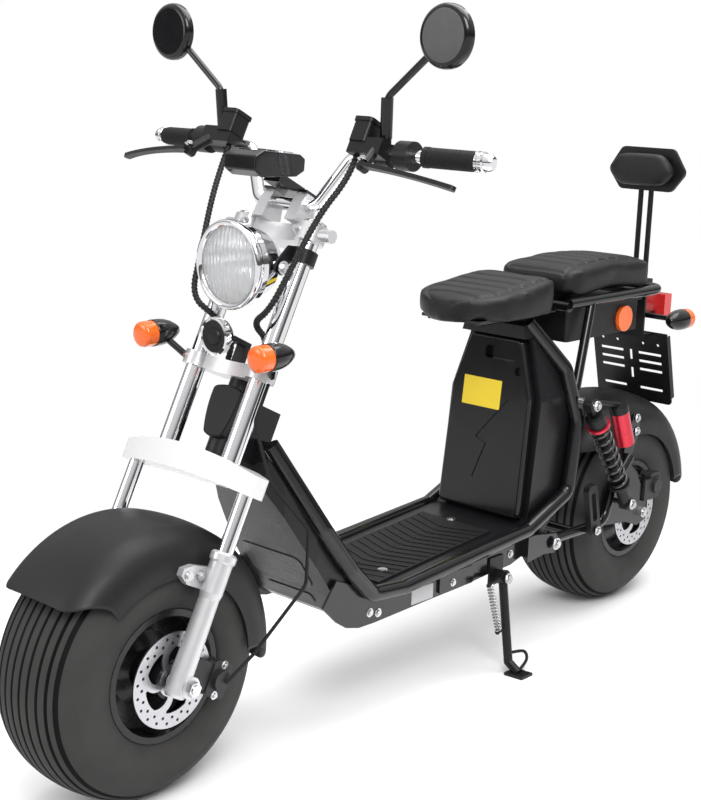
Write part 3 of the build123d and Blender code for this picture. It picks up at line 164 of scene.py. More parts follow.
FINISHES = {
    # name: colour, then what differs from the usual
    "tyre": dict(colour=(0.04, 0.039, 0.038), rough=0.68, grain=900, relief=0.3, drift=0.35,
                 specular=0.14),
    # painted shade: this near-black rubber, darker than the tread, goes on the tyres' groove and
    # bead faces to stand in for the shade inside the grooves and where the tyre meets the rim
    "groove_shade": dict(colour=(0.006, 0.006, 0.006), rough=0.7, grain=900, relief=0.3, specular=0.1),
    "rim": dict(colour=(0.004, 0.004, 0.005), rough=0.28, coat=0.15, relief=0.05, wear=0.05,
                specular=0.25),
    "disc": dict(colour=(0.45, 0.45, 0.47), rough=0.3, metallic=1.0, grain=700, relief=0.12),
    "chrome": dict(colour=(0.78, 0.78, 0.8), rough=0.06, metallic=1.0, relief=0.02, drift=0.04,
                   spread=0.05),
    "silver": dict(colour=(0.56, 0.56, 0.57), rough=0.34, metallic=0.55, coat=0.25,
                   relief=0.05, drift=0.04, wear=0.1),
    "white_paint": dict(colour=(0.66, 0.66, 0.66), rough=0.3, coat=0.4, relief=0.04, drift=0.03),
    "gloss_black": dict(colour=(0.003, 0.003, 0.004), rough=0.18, coat=0.3, relief=0.03, drift=0.2,
                        spread=0.08, specular=0.3),
    "satin_black": dict(colour=(0.005, 0.005, 0.006), rough=0.38, relief=0.1, wear=0.04,
                        specular=0.25),
    "matt_black": dict(colour=(0.009, 0.009, 0.01), rough=0.45, grain=1200, relief=0.12,
                       specular=0.25),
    "shell_black": dict(colour=(0.005, 0.005, 0.006), rough=0.3, grain=1500, relief=0.1,
                        specular=0.3),
    "honeycomb": dict(colour=(0.022, 0.022, 0.023), rough=0.4, grain=150, relief=1.0,
                      fine="VORONOI", specular=0.5),
    "rubber": dict(colour=(0.008, 0.008, 0.009), rough=0.6, grain=900, relief=0.3, specular=0.2),
    "wrapped_cable": dict(colour=(0.006, 0.006, 0.007), rough=0.4, grain=90, relief=0.9,
                          fine="WAVE", specular=0.3),
    "steel": dict(colour=(0.55, 0.55, 0.56), rough=0.25, metallic=1.0, relief=0.1),
    "spring_black": dict(colour=(0.012, 0.012, 0.013), rough=0.22, coat=0.6, relief=0.04,
                         wear=0.1, specular=0.5),
    "alloy": dict(colour=(0.03, 0.03, 0.032), rough=0.4, metallic=0.4, grain=900, relief=0.3,
                  specular=0.3),
    "vinyl": dict(colour=(0.006, 0.006, 0.006), rough=0.42, grain=700, relief=0.4,
                  fine="VORONOI", specular=0.28),
    "red_metal": dict(colour=(0.55, 0.008, 0.03), rough=0.3, metallic=0.5, relief=0.06, coat=0.3),
    "orange_lens": dict(colour=(0.85, 0.13, 0.008), rough=0.2, grain=260, relief=0.3, coat=0.4,
                        drift=0.2),
    "red_lens": dict(colour=(0.6, 0.02, 0.02), rough=0.16, grain=260, relief=0.3, coat=0.5,
                     drift=0.2),
    "glass": dict(colour=(0.96, 0.97, 0.98), rough=0.1, transmission=0.72, grain=34, relief=0.9,
                  drift=0.03, spread=0.06, fine="WAVE"),
    "mirror": dict(colour=(0.9, 0.9, 0.9), rough=0.03, metallic=1.0, relief=0.01, drift=0.02,
                   spread=0.02),
    "dial": dict(colour=(0.01, 0.012, 0.015), rough=0.1, coat=0.5, relief=0.02, drift=0.1,
                 spread=0.04),
    "yellow": dict(colour=(0.8, 0.58, 0.02), rough=0.4, relief=0.05, drift=0.05),
    "pale_label": dict(colour=(0.42, 0.42, 0.43), rough=0.4, relief=0.05, drift=0.05),
}
FINISH = {name: material(name, **look) for name, look in FINISHES.items()}

NODE_FINISH = {
    "tyre": ["front_tyre", "rear_tyre"],
    "rim": ["front_rim", "rear_rim"],
    "disc": ["front_disc", "rear_disc"],
    "chrome": ["fork_tubes", "handlebar", "headlight_shell", "horn"],
    "silver": ["fork_legs", "lower_clamp", "upper_clamp"],
    "white_paint": ["fork_bridge"],
    "gloss_black": ["mirrors", "speedometer", "edge_rails", "side_plates", "swing_arm", "rear_rack",
                    "battery_pack", "front_signals", "rear_lights"],
    "satin_black": ["headlight_brackets", "head_tube", "backrest_frame", "plate_bracket",
                    "stand_bracket", "side_stand", "shock_absorbers", "foot_pegs", "hand_controls"],
    "spring_black": ["shock_springs"],
    "matt_black": ["front_fender", "rear_fender", "storage_box"],
    "shell_black": ["body_shell"],
    "rubber": ["grips", "deck_mat", "front_brake_hose"],
    "wrapped_cable": ["control_cables"],
    "steel": ["front_axle", "rear_axle", "shock_mounts"],
    "alloy": ["front_caliper", "rear_caliper"],
    "vinyl": ["front_seat", "rear_seat", "backrest_pad"],
    "red_metal": ["shock_reservoirs"],
    "glass": ["headlight_lens"],
}


def dress_nodes():
    """Gives every CAD node its finish."""
    for finish, names in NODE_FINISH.items():
        for name in names:
            mesh = nodes[name].data
            mesh.materials.clear()
            mesh.materials.append(FINISH[finish])


def paint(node, finish, frame_matrix, chosen):
    """Another finish on a CAD node's faces whose middle, in a frame's millimetres, is chosen."""
    mesh = nodes[node].data
    mesh.materials.append(FINISH[finish])
    back = frame_matrix.inverted()
    for polygon in mesh.polygons:
        x, y, z = back @ polygon.center * 1000
        if chosen(x, y, z):
            polygon.material_index = len(mesh.materials) - 1


def paint_nodes():
    """The second finish of the nodes that have one: lamps, horn, bottles and the bridge's stem."""
    paint("front_signals", "orange_lens", UPRIGHT, lambda x, y, z: x > 1201)
    paint("rear_lights", "red_lens", UPRIGHT, lambda x, y, z: x < -185 and abs(y) < 40)
    paint("rear_lights", "orange_lens", UPRIGHT, lambda x, y, z: x < -89 and abs(y) > 105)
    paint("rear_lights", "orange_lens", UPRIGHT,
          lambda x, y, z: abs(y) > 84.5 and 30 < x < 110 and z > 630)
    paint("horn", "satin_black", UPRIGHT,
          lambda x, y, z: x > 1190 and y ** 2 + (z - 740) ** 2 < 26 ** 2)
    paint("horn", "satin_black", UPRIGHT, lambda x, y, z: x < 1166)
    paint("shock_reservoirs", "satin_black", UPRIGHT, lambda x, y, z: x > 205)
    paint("fork_bridge", "steel", FORK, lambda x, y, z: z > 357 and x < -5)


# Helpers that make pieces

def new_piece(name, mesh, body, finish, smooth=True, place=None):
    """A mesh given in the named frame becomes a piece that rides on a body."""
    if place is not None:
        mesh.transform(place)
    for polygon in mesh.polygons:
        polygon.use_smooth = smooth
    mesh.materials.append(FINISH[finish])
    piece = bpy.data.objects.new(name, mesh)
    bpy.context.scene.collection.objects.link(piece)
    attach(piece, body)
    return piece


def turned(profile, steps=64):
    """A mesh turned about X from (x, radius) points."""
    work = bmesh.new()
    rings = []
    for k in range(steps):
        a = 2 * pi * k / steps
        rings.append([work.verts.new((x, r * cos(a), r * sin(a))) for x, r in profile])
    for k in range(steps):
        after = rings[(k + 1) % steps]
        for a, b, c, d in zip(rings[k], rings[k][1:], after[1:], after):
            work.faces.new((a, d, c, b))
    bmesh.ops.remove_doubles(work, verts=work.verts, dist=1e-4)
    bmesh.ops.recalc_face_normals(work, faces=work.faces)
    mesh = bpy.data.meshes.new("turned")
    work.to_mesh(mesh)
    work.free()
    return mesh


def at(frame_matrix, point, turn=None):
    """Places millimetre geometry at a millimetre point of a frame."""
    place = frame_matrix @ Matrix.Translation(Vector(point) * 0.001) @ MM
    return place @ turn if turn is not None else place


def aim(frame_matrix, point, way):
    """Places millimetre geometry drawn along Z at a point of a frame, turned to a direction."""
    turn = Vector(way).to_track_quat("Z", "X").to_matrix().to_4x4()
    return frame_matrix @ Matrix.Translation(Vector(point) * 0.001) @ turn @ MM


def take(work):
    """The bmesh as a mesh, with its edges sharper than 35 degrees kept crisp."""
    work.normal_update()
    for edge in work.edges:
        if len(edge.link_faces) == 2 and edge.calc_face_angle(0) > radians(35):
            edge.smooth = False
    mesh = bpy.data.meshes.new("made")
    work.to_mesh(mesh)
    work.free()
    return mesh


def cone(work, place, low_r, high_r, depth, sides=24, lift=0.0):
    """A frustum that stands on the placed plane."""
    up = Matrix.Translation((0, 0, lift + depth / 2))
    bmesh.ops.create_cone(work, cap_ends=True, segments=sides, radius1=low_r, radius2=high_r,
                          depth=depth, matrix=place @ up)


def slab(work, place, wide, tall, corner, thick):
    """A plate with rounded corners, its back on the placed plane."""
    outline = []
    for k, (sx, sy) in enumerate(((1, 1), (-1, 1), (-1, -1), (1, -1))):
        for step in range(5):
            a = (k + step / 4) * pi / 2
            outline.append((sx * (wide / 2 - corner) + corner * cos(a),
                            sy * (tall / 2 - corner) + corner * sin(a)))
    low = [work.verts.new(place @ Vector((x, y, 0))) for x, y in outline]
    high = [work.verts.new(place @ Vector((x, y, thick))) for x, y in outline]
    work.faces.new(high)
    work.faces.new(low[::-1])
    for k in range(len(low)):
        n = (k + 1) % len(low)
        work.faces.new((low[k], low[n], high[n], high[k]))


def bar(work, place, start, end, wide, tall):
    """A low ridge between two points of the placed plane."""
    a, b = Vector(start), Vector(end)
    line = b - a
    turn = Matrix.Rotation(math.atan2(line.y, line.x), 4, "Z")
    size = Matrix.Diagonal((line.length, wide, tall, 1))
    middle = (a + b) / 2
    spot = Matrix.Translation((middle.x, middle.y, tall / 2))
    bmesh.ops.create_cube(work, size=1, matrix=place @ spot @ turn @ size)


# Tyres with their grooves

GROOVES = (9, 27, 46, 62, 76)  # how far the middle of each groove lies to the side
GROOVE_HALF = 2.6
GROOVE_WALL = 0.5
GROOVE_DEEP = 5.0
GROOVES_END = 80
CROWN_HALF = 45
CROWN = (0, -8, 230)  # an arc: y and radius of its centre, and its own radius
SHOULDER = (31.31, 148.9, 70.0)
RIDGE_R = 71.3
WALL_STEPS = 15
BEAD = [(86, 112), (86, 106)]


def tyre_skin(y, deep):
    """The point of the CAD tyre's crown or shoulder at y, sunk along its normal, as (y, radius)."""
    middle_y, middle_r, arc = CROWN if y <= CROWN_HALF else SHOULDER
    lean = math.asin((y - middle_y) / arc)
    return middle_y + (arc - deep) * sin(lean), middle_r + (arc - deep) * cos(lean)


def tyre_outline():
    """The CAD tyre's outline as (y, radius), with grooves in its tread and a ridge on its walls."""
    half = [tyre_skin(y, 0) for y in range(0, 84, 3)
            if all(abs(y - g) > GROOVE_HALF + 1 for g in GROOVES)]
    for y in GROOVES:
        half += [tyre_skin(y - GROOVE_HALF, 0),
                 tyre_skin(y - GROOVE_HALF + GROOVE_WALL, GROOVE_DEEP),
                 tyre_skin(y + GROOVE_HALF - GROOVE_WALL, GROOVE_DEEP),
                 tyre_skin(y + GROOVE_HALF, 0)]
    half.sort(key=lambda p: math.atan2(p[0], p[1] - 60))
    middle_y, middle_r, wall_r = SHOULDER
    for k in range(WALL_STEPS + 1):
        a = radians(50 + 71.8 * k / WALL_STEPS)
        reach = RIDGE_R if k in (3, 4) else wall_r
        half.append((middle_y + reach * sin(a), middle_r + reach * cos(a)))
    half += BEAD
    return [(-y, r) for y, r in reversed(half) if y > 0] + half


def tyres():
    """Both tyres with their tread, its groove and bead faces darker as painted shade."""
    for node, body, hub in (("front_tyre", "front_wheel", FRONT_WHEEL),
                            ("rear_tyre", "rear_wheel", REAR_WHEEL)):
        mesh = turned(tyre_outline(), 160)
        # painted shade: faces down in the grooves and on the bead ring next to the rim are marked
        # for the darker finish
        dark = []
        for polygon in mesh.polygons:
            y, radius = abs(polygon.center.x), math.hypot(polygon.center.y, polygon.center.z)
            in_groove = y < GROOVES_END and radius < tyre_skin(y, 0)[1] - 1.5
            dark.append(in_groove or y > 85 and radius < 112.5)
        across = Matrix.Rotation(pi / 2, 4, "Z")
        piece = new_piece(node + "_grooved", mesh, body, "tyre", place=hub @ MM @ across)
        # the darker finish on the marked faces is painted shade for the grooves and beads
        mesh.materials.append(FINISH["groove_shade"])
        mesh.polygons.foreach_set("material_index", dark)
        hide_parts(node)


# Fenders with their end corners rounded off

FENDERS = [
    # node, body, wheel, first and last angle, degrees trimmed at the first, metres the crown sinks
    ("front_fender", "steering", FRONT_WHEEL, 36, 190, 3.5, 0.007),
    ("rear_fender", "frame", REAR_WHEEL, 40, 178, 0, 0),
]
CORNER_CUT, CORNER_FROM, CORNER_WIDE = 13, 66, 44
CROWN_REACH = 0.095


def fenders():
    """Both fenders' solids with their ends trimmed along the arc and rounded towards the edges."""
    for node, body, hub, first, last, trim, drawn in FENDERS:
        mesh = nodes[node].data.copy()
        mesh.materials.clear()
        back = hub.inverted()
        for v in mesh.vertices:
            x, y, z = back @ v.co
            radius, angle = math.hypot(x, z), math.degrees(math.atan2(z, x)) % 360
            corner = CORNER_CUT * (max(0, abs(y) * 1000 - CORNER_FROM) / CORNER_WIDE) ** 2
            low, high = first + trim + corner, last - corner
            radius -= drawn * max(0, 1 - (y / CROWN_REACH) ** 2)
            angle = low + (angle - first) * (high - low) / (last - first)
            v.co = hub @ Vector((radius * cos(radians(angle)), y, radius * sin(radians(angle))))
        piece = bpy.data.objects.new(node + "_trimmed", mesh)
        bpy.context.scene.collection.objects.link(piece)
        mesh.materials.append(FINISH["matt_black"])
        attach(piece, body)
        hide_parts(node)


# Grips with ribs and turned ends

GRIP_RIBS = 17
RIB_PITCH = 4.6


def grips():
    """Ribbed rubber grips, and the chrome caps on their ends."""
    start, end = Vector((26, 262, 905)), Vector((8, 378, 912))
    long = (end - start).length
    ribs = [(8, 11), (8, 17), (16, 17), (17, 15.6)]
    for k in range(GRIP_RIBS):
        x = 18 + k * RIB_PITCH
        ribs += [(x, 15.7), (x + 0.8, 16.4), (x + 2.8, 16.4), (x + 3.6, 15.7)]
    ribs += [(long - 16, 15.7), (long - 15, 11)]
    caps = [(long + x, r) for x, r in (
        (-16, 6), (-16, 15.5), (-15, 17), (-12, 17), (-11, 14.5), (-8, 14.5),
        (-7, 16.5), (-3, 16.5), (-1, 14), (8, 13), (13, 10), (14, 0))]
    for name, profile, finish in (("grip_rubbers", ribs, "rubber"), ("grip_ends", caps, "chrome")):
        whole = bmesh.new()
        for side in (-1, 1):
            way = Vector((end.x - start.x, side * (end.y - start.y), end.z - start.z))
            turn = way.to_track_quat("X", "Z").to_matrix().to_4x4()
            spot = Vector((start.x, side * start.y, start.z)) * 0.001
            place = FORK @ Matrix.Translation(spot) @ turn @ MM
            mesh = turned(profile, 48)
            mesh.transform(place)
            whole.from_mesh(mesh)
        piece = new_piece(name, take(whole), "steering", finish)
        if name == "grip_rubbers":
            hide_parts("grips")


# Bolts: frame, point, direction, head radius, height, sides, both sides of the scooter

BOLTS = {
    ("steering_bolts", "steering", "steel"): [
        (FORK, (32, 62, 759), (1, 0, 0), 6, 6, 6, True),
        (FORK, (22, 33, 824), (0, 0, 1), 3.5, 4, 12, True),
        (FORK, (2, 33, 824), (0, 0, 1), 3.5, 4, 12, True),
        (FORK, (32, 84, 510), (1, 0, 0), 5, 5, 6, True),
        (FORK, (10, 77, 778), (0, 0, 1), 14, 3, 32, True),
        (FORK, (34, 126, 170), (0, 1, 0), 6, 4, 6, False),
        (FORK, (58, 122, 164), (0, 1, 0), 6, 4, 6, True),
        (FORK, (34, 122, 170), (0, 1, 0), 6, 4, 6, True),
        (FORK, (-24, 134, 9), (0, 0, 1), 5, 5, 6, True),
        (UPRIGHT, (1117, 76, 856), (0, 1, 0), 8, 5, 6, True),
        (UPRIGHT, (1196, 139, 727), (-1, 0, 0), 7, 4, 6, True),
        (FORK, (-85, 126, 46), (0, 1, 0), 5, 4, 6, False),
        (FORK, (-85, 126, -6), (0, 1, 0), 5, 4, 6, False),
        (FORK, (88, 203, 867), (0, 0, 1), 6, 5, 6, True),
    ],
    ("frame_bolts", "frame", "steel"): [
        (UPRIGHT, (362, 145, 231), (0, 1, 0), 9, 5, 6, True),
        (UPRIGHT, (918, 119.5, 218), (0, 1, 0), 6, 3, 24, True),
        (UPRIGHT, (895, 119.5, 212), (0, 1, 0), 6, 3, 24, True),
        (UPRIGHT, (681, 124, 219), (0, 1, 0), 5.5, 3, 24, False),
        (UPRIGHT, (490, 119.5, 232), (0, 1, 0), 6, 3, 6, True),
        (UPRIGHT, (295, 178, 519), (0, 1, 0), 8, 5, 6, True),
        (UPRIGHT, (127, 178, 276), (0, 1, 0), 8, 5, 6, True),
        (UPRIGHT, (26, 115, 441), (0, 1, 0), 7, 4, 6, True),
        (UPRIGHT, (24, 115, 411), (0, 1, 0), 7, 4, 6, True),
        (UPRIGHT, (213, 149, 228), (0, 1, 0), 7, 4, 6, True),
        (UPRIGHT, (536, 152, 199), (0, 1, 0.18), 8, 4, 6, False),
    ],
    ("deck_bolts", "frame", "steel"): [
        (UPRIGHT, (518, -13, 280.2), (0.08, 0, 1), 7, 1.5, 24, False),
        (UPRIGHT, (812, 56, 257.7), (0.08, 0, 1), 7, 1.5, 24, False),
        (UPRIGHT, (812, -56, 257.7), (0.08, 0, 1), 7, 1.5, 24, False),
    ],
}


def bolts():
    """Every row of bolts as one piece: a washer, a head and its domed end."""
    for (name, body, finish), rows in BOLTS.items():
        work = bmesh.new()
        for frame_matrix, point, way, head, tall, sides, both in rows:
            for side in (1, -1) if both else (1,):
                spot = (point[0], side * point[1], point[2])
                place = aim(frame_matrix, spot, (way[0], side * way[1], way[2]))
                cone(work, place, head * 1.45, head * 1.4, 1.2)
                cone(work, place, head, head * 0.92, tall, sides, 1.0)
                cone(work, place, head * 0.55, head * 0.5, tall + 0.8, 16, 1.0)
        new_piece(name, take(work), body, finish)


# The ribbed mat, plates, labels and covers

MAT_START = (520, 0, 280)
MAT_SLOPE = (340, 0, -26)
MAT_RIBS = 14
RIB_STEP = 21
RIB_OUT, RIB_IN = 82, 2


def mat_ribs():
    """The low chevron ribs on the deck's mat, and a finer pair that closes them in front."""
    work = bmesh.new()
    run = Vector(MAT_SLOPE).normalized()
    up = Vector((0, 1, 0)).cross(run) * -1
    turn = Matrix((run, Vector((0, 1, 0)), up)).transposed().to_4x4()
    place = UPRIGHT @ Matrix.Translation(Vector(MAT_START) * 0.001) @ turn @ MM
    for k in range(MAT_RIBS):
        x = 18 + RIB_STEP * k
        for side in (-1, 1):
            bar(work, place, (x, side * RIB_OUT, 0), (x + 26, side * RIB_IN, 0), 6, 1.6)
    for side in (-1, 1):
        bar(work, place, (316, side * RIB_OUT, 0), (338, side * RIB_IN, 0), 2.5, 1.0)
    new_piece("mat_ribs", take(work), "frame", "rubber", smooth=False)


SLABS = [
    # name, body, finish, frame, point, direction, width, height, corner, thickness
    ("side_label", "frame", "pale_label", UPRIGHT, (768, 119.5, 216), (0, 1, 0), 29, 64, 2, 0.5),
    ("side_cover", "frame", "gloss_black", UPRIGHT, (668, 119.5, 222), (0, 1, 0), 36, 106, 6, 4.5),
    ("battery_label", "frame", "yellow", UPRIGHT, (426.3, -20, 534),
     (0.9945, 0, 0.1045), 60, 96, 2, 0.4),
    ("shield_inset", "frame", "honeycomb", UPRIGHT, (1031, -8, 305),
     (0.84, 0, -0.544), 78, 150, 16, 1.5),
    ("shield_grille", "frame", "honeycomb", UPRIGHT, (990, -8, 243),
     (0.82, 0, -0.572), 26, 110, 6, 1.5),
    ("speedometer_rim", "steering", "chrome", UPRIGHT, (1084.2, 0, 1039.2),
     (-0.105, 0, 0.995), 90, 68, 16, 1.6),
    ("speedometer_glass", "steering", "dial", UPRIGHT, (1084.1, 0, 1040.8),
     (-0.105, 0, 0.995), 80, 58, 13, 1.0),
]


def slabs():
    """The flat plates of the table, one piece each."""
    for name, body, finish, frame_matrix, point, way, wide, tall, corner, thick in SLABS:
        work = bmesh.new()
        slab(work, aim(frame_matrix, point, way), wide, tall, corner, thick)
        new_piece(name, take(work), body, finish)


def mirror_glass():
    """The silvered faces on the rider's side of both mirrors."""
    work = bmesh.new()
    for side in (-1, 1):
        away = Vector((-cos(RAKE), 0, sin(RAKE)))
        centre = Vector((118, side * 315, 1067)) + away * 2
        cone(work, aim(FORK, centre, away), 46, 45, 1.2, 48)
    new_piece("mirror_glass", take(work), "steering", "mirror")


# Tubes along smooth lines, and the wrapped bundles of cables on the route of their solids

CABLE_ROUTE = [(48, 150, 888), (48, 150, 850), (62, 128, 777), (60, 108, 679), (60, 94, 606),
               (40, 46, 585), (-20, 40, 572), (-20, 40, 522)]
SLEEVE_R = 5.1
SLEEVE_RIDGE = 0.6
SLEEVE_TWIST = 0.9


def smooth_line(points):
    """The places along a NURBS curve that has the given control points."""
    data = bpy.data.curves.new("line", "CURVE")
    data.dimensions = "3D"
    data.resolution_u = 40
    spline = data.splines.new("NURBS")
    spline.points.add(len(points) - 1)
    for spot, point in zip(spline.points, points):
        spot.co = (*point, 1)
    spline.order_u = 3
    spline.use_endpoint_u = True
    holder = bpy.data.objects.new("line", data)
    mesh = bpy.data.meshes.new_from_object(holder)
    line = [v.co.copy() for v in mesh.vertices]
    bpy.data.objects.remove(holder)
    return line


def tube(work, place, line, radius, sides):
    """A closed tube along a line; its radius follows the angle round it and the way travelled."""
    travelled, rings = 0.0, []
    across = Vector((1, 0.1, 0.1))
    for k, spot in enumerate(line):
        ahead = (line[min(k + 1, len(line) - 1)] - line[max(k - 1, 0)]).normalized()
        travelled += (spot - line[k - 1]).length if k else 0
        across = (across - ahead * across.dot(ahead)).normalized()
        third = ahead.cross(across)
        ring = []
        for n in range(sides):
            a = 2 * pi * n / sides
            out = (across * cos(a) + third * sin(a)) * radius(a, travelled)
            ring.append(work.verts.new(place @ ((spot + out) * 0.001)))
        rings.append(ring)
    for low, high in zip(rings, rings[1:]):
        for n in range(sides):
            m = (n + 1) % sides
            work.faces.new((low[n], low[m], high[m], high[n]))
    work.faces.new(rings[0][::-1])
    work.faces.new(rings[-1])


def wrapped_cables():
    """Both bundles, with the spiral sleeve's ridges standing round them."""
    work = bmesh.new()
    for side in (-1, 1):
        line = smooth_line([(x, side * y, z) for x, y, z in CABLE_ROUTE])
        tube(work, FORK, line,
             lambda a, far: SLEEVE_R + SLEEVE_RIDGE * sin(a + far * SLEEVE_TWIST), 14)
    bmesh.ops.recalc_face_normals(work, faces=work.faces)
    piece = new_piece("cable_sleeves", take(work), "steering", "wrapped_cable")
    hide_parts("control_cables")


TURN_STEPS = 20
WIRE_SIDES = 8


def spring(work, place, coil_r, wire_r, long, turns):
    """A coil spring drawn along Z."""
    rings = []
    steps = int(turns * TURN_STEPS)
    for k in range(steps + 1):
        a = 2 * pi * turns * k / steps
        out = Vector((cos(a), sin(a), 0))
        middle = out * coil_r + Vector((0, 0, long * k / steps))
        ring = []
        for n in range(WIRE_SIDES):
            b = 2 * pi * n / WIRE_SIDES
            spot = middle + out * wire_r * cos(b) + Vector((0, 0, wire_r * sin(b)))
            ring.append(work.verts.new(place @ spot))
        rings.append(ring)
    for low, high in zip(rings, rings[1:]):
        for n in range(WIRE_SIDES):
            m = (n + 1) % WIRE_SIDES
            work.faces.new((low[n], low[m], high[m], high[n]))


STAND_COIL_R, STAND_WIRE_R, STAND_TURNS = 6, 1.5, 15
TANG_R = 3.2


def stand_spring():
    """The stand's spring between a lug by its eye and a peg on its leg, and its wire tang."""
    top, low = Vector((596, 150, 200)), Vector((567, 157, 98))
    work = bmesh.new()
    spring(work, aim(UPRIGHT, top, low - top), STAND_COIL_R, STAND_WIRE_R, (low - top).length,
           STAND_TURNS)
    new_piece("stand_spring", take(work), "side_stand", "steel")
    work = bmesh.new()
    cone(work, aim(UPRIGHT, (547, 140, 199), (1, 0.18, 0)), 5, 4, 54.5, 16)
    cone(work, aim(UPRIGHT, (545, 156, 96), (1, 0.04, 0.03)), 3, 3, 26, 16)
    cone(work, aim(UPRIGHT, (570, 157, 97), (1, 0.04, 0.03)), 5.5, 5, 3, 16)
    tang = [(541, 164, 46), (505, 170, 44), (492, 174, 38),
            (500, 184, 28), (524, 190, 21), (536, 192, 19)]
    tube(work, UPRIGHT, smooth_line(tang), lambda a, far: TANG_R, 10)
    new_piece("stand_fittings", take(work), "side_stand", "satin_black")


SHOCK_TOP, SHOCK_WAY = Vector((295, 162, 519)), Vector((-168, 0, -243)).normalized()
BOTTLE_TOP, BOTTLE_WAY = Vector((190, 162, 505)), Vector((-40, 0, -90)).normalized()


def shock_trim():
    """Red collars on the shocks' upper perches, and black caps on the gas bottles."""
    for name, start, way, lift, profile, finish in (
            ("shock_collars", SHOCK_TOP, SHOCK_WAY, 56, [(0, 20), (0, 25), (6, 25), (6, 20)],
             "red_metal"),
            ("bottle_caps", BOTTLE_TOP, BOTTLE_WAY, -1.2,
             [(0, 0), (0, 20.3), (1.5, 20.9), (18, 20.9), (19, 20)], "satin_black")):
        whole = bmesh.new()
        for side in (-1, 1):
            spot, away = start + way * lift, Vector((way.x, 0, way.z))
            turn = away.to_track_quat("X", "Z").to_matrix().to_4x4()
            mesh = turned(profile, 40)
            mesh.transform(at(UPRIGHT, (spot.x, side * spot.y, spot.z)) @ turn)
            whole.from_mesh(mesh)
        new_piece(name, take(whole), "frame", finish)


# Soft pieces

def dent(distance, width):
    """How deep a soft channel is at a distance from its middle, from 1 to 0."""
    return math.exp(-(distance / width) ** 2)


SADDLE_HALF = 114
NOSE_FROM = 527
NOSE_MIDDLE, NOSE_R = 493, 118


def front_half(x):
    """Half the width of the saddle at a place along it: straight, then a round nose."""
    if x < NOSE_FROM:
        return SADDLE_HALF
    return math.sqrt(max(0, NOSE_R ** 2 - (x - NOSE_MIDDLE) ** 2))


STITCHING = {
    # node: half width of its panel at x, where its cross channels are, lowest height of the top
    "front_seat": (lambda x: front_half(x) - 30, range(376, 590, 38), 738),
    "rear_seat": (lambda x: 72, range(6, 290, 40), 770),
}


BORDER_DEEP, BORDER_WIDE = 3.5, 3.5
CHANNEL_DEEP, CHANNEL_WIDE = 4.0, 4.5
SKIRT_DROP, SKIRT_TALL = 11, 30
REAR_SKIRT_Y = 84
FRONT_SKIRT_Y, FRONT_SKIRT_X = 75, 573


def stitched(node, x, y, z):
    """The offset that sews channels and a border into a cushion's top, and hangs its skirt."""
    panel, cross, top = STITCHING[node]
    if z < top:
        if node == "rear_seat":
            out = max(0, abs(y) - REAR_SKIRT_Y)
        else:
            out = max(0, abs(y) - FRONT_SKIRT_Y, x - FRONT_SKIRT_X)
        return Vector((0, 0, -min(SKIRT_DROP, out) * max(0, min(1, (top - z) / SKIRT_TALL))))
    inside = panel(x) - abs(y)
    depth = BORDER_DEEP * dent(inside, BORDER_WIDE)
    if inside > 0:
        depth = max(depth, max(CHANNEL_DEEP * dent(x - place, CHANNEL_WIDE) for place in cross))
    return Vector((0, 0, -depth))


def evened(mesh, moves, rounds):
    """A field of moves averaged with its neighbours, so that no crease of the simulation stays."""
    around = [[] for _ in moves]
    for edge in mesh.edges:
        a, b = edge.vertices
        around[a].append(b)
        around[b].append(a)
    for _ in range(rounds):
        moves = [(move + sum((moves[n] for n in near), Vector())) / (len(near) + 1)
                 for move, near in zip(moves, around)]
    return moves


VOXEL = 0.006
INSET = 0.006
PRESSURE = 2.0
SWELL_FRAMES = 20
SWELL_MOST = 0.009
SWELL_ROUNDS = 12
BOX_MARGIN = 0.0005


def baked(piece):
    """The piece's mesh as its modifiers leave it."""
    depsgraph = bpy.context.evaluated_depsgraph_get()
    return bpy.data.meshes.new_from_object(piece.evaluated_get(depsgraph))


def swell(piece, made):
    """Blows the mesh up by a short cloth simulation under pressure, its moves capped and evened."""
    start = [v.co.copy() for v in made.vertices]
    cloth = piece.modifiers.new("cloth", "CLOTH")
    cloth.settings.use_pressure = True
    cloth.settings.uniform_pressure_force = PRESSURE
    cloth.settings.effector_weights.gravity = 0
    cloth.settings.quality = 4
    cloth.point_cache.frame_end = SWELL_FRAMES
    for step in range(1, SWELL_FRAMES + 1):
        bpy.context.scene.frame_set(step)
    blown = piece.evaluated_get(bpy.context.evaluated_depsgraph_get()).to_mesh()
    moved = [v.co.copy() for v in blown.vertices]
    piece.modifiers.clear()
    steps = [new - old for old, new in zip(start, moved)]
    steps = [step * min(1, SWELL_MOST / max(step.length, 1e-9)) for step in steps]
    for v, old, step in zip(made.vertices, start, evened(made, steps, SWELL_ROUNDS)):
        v.co = old + step
    bpy.context.scene.frame_set(1)


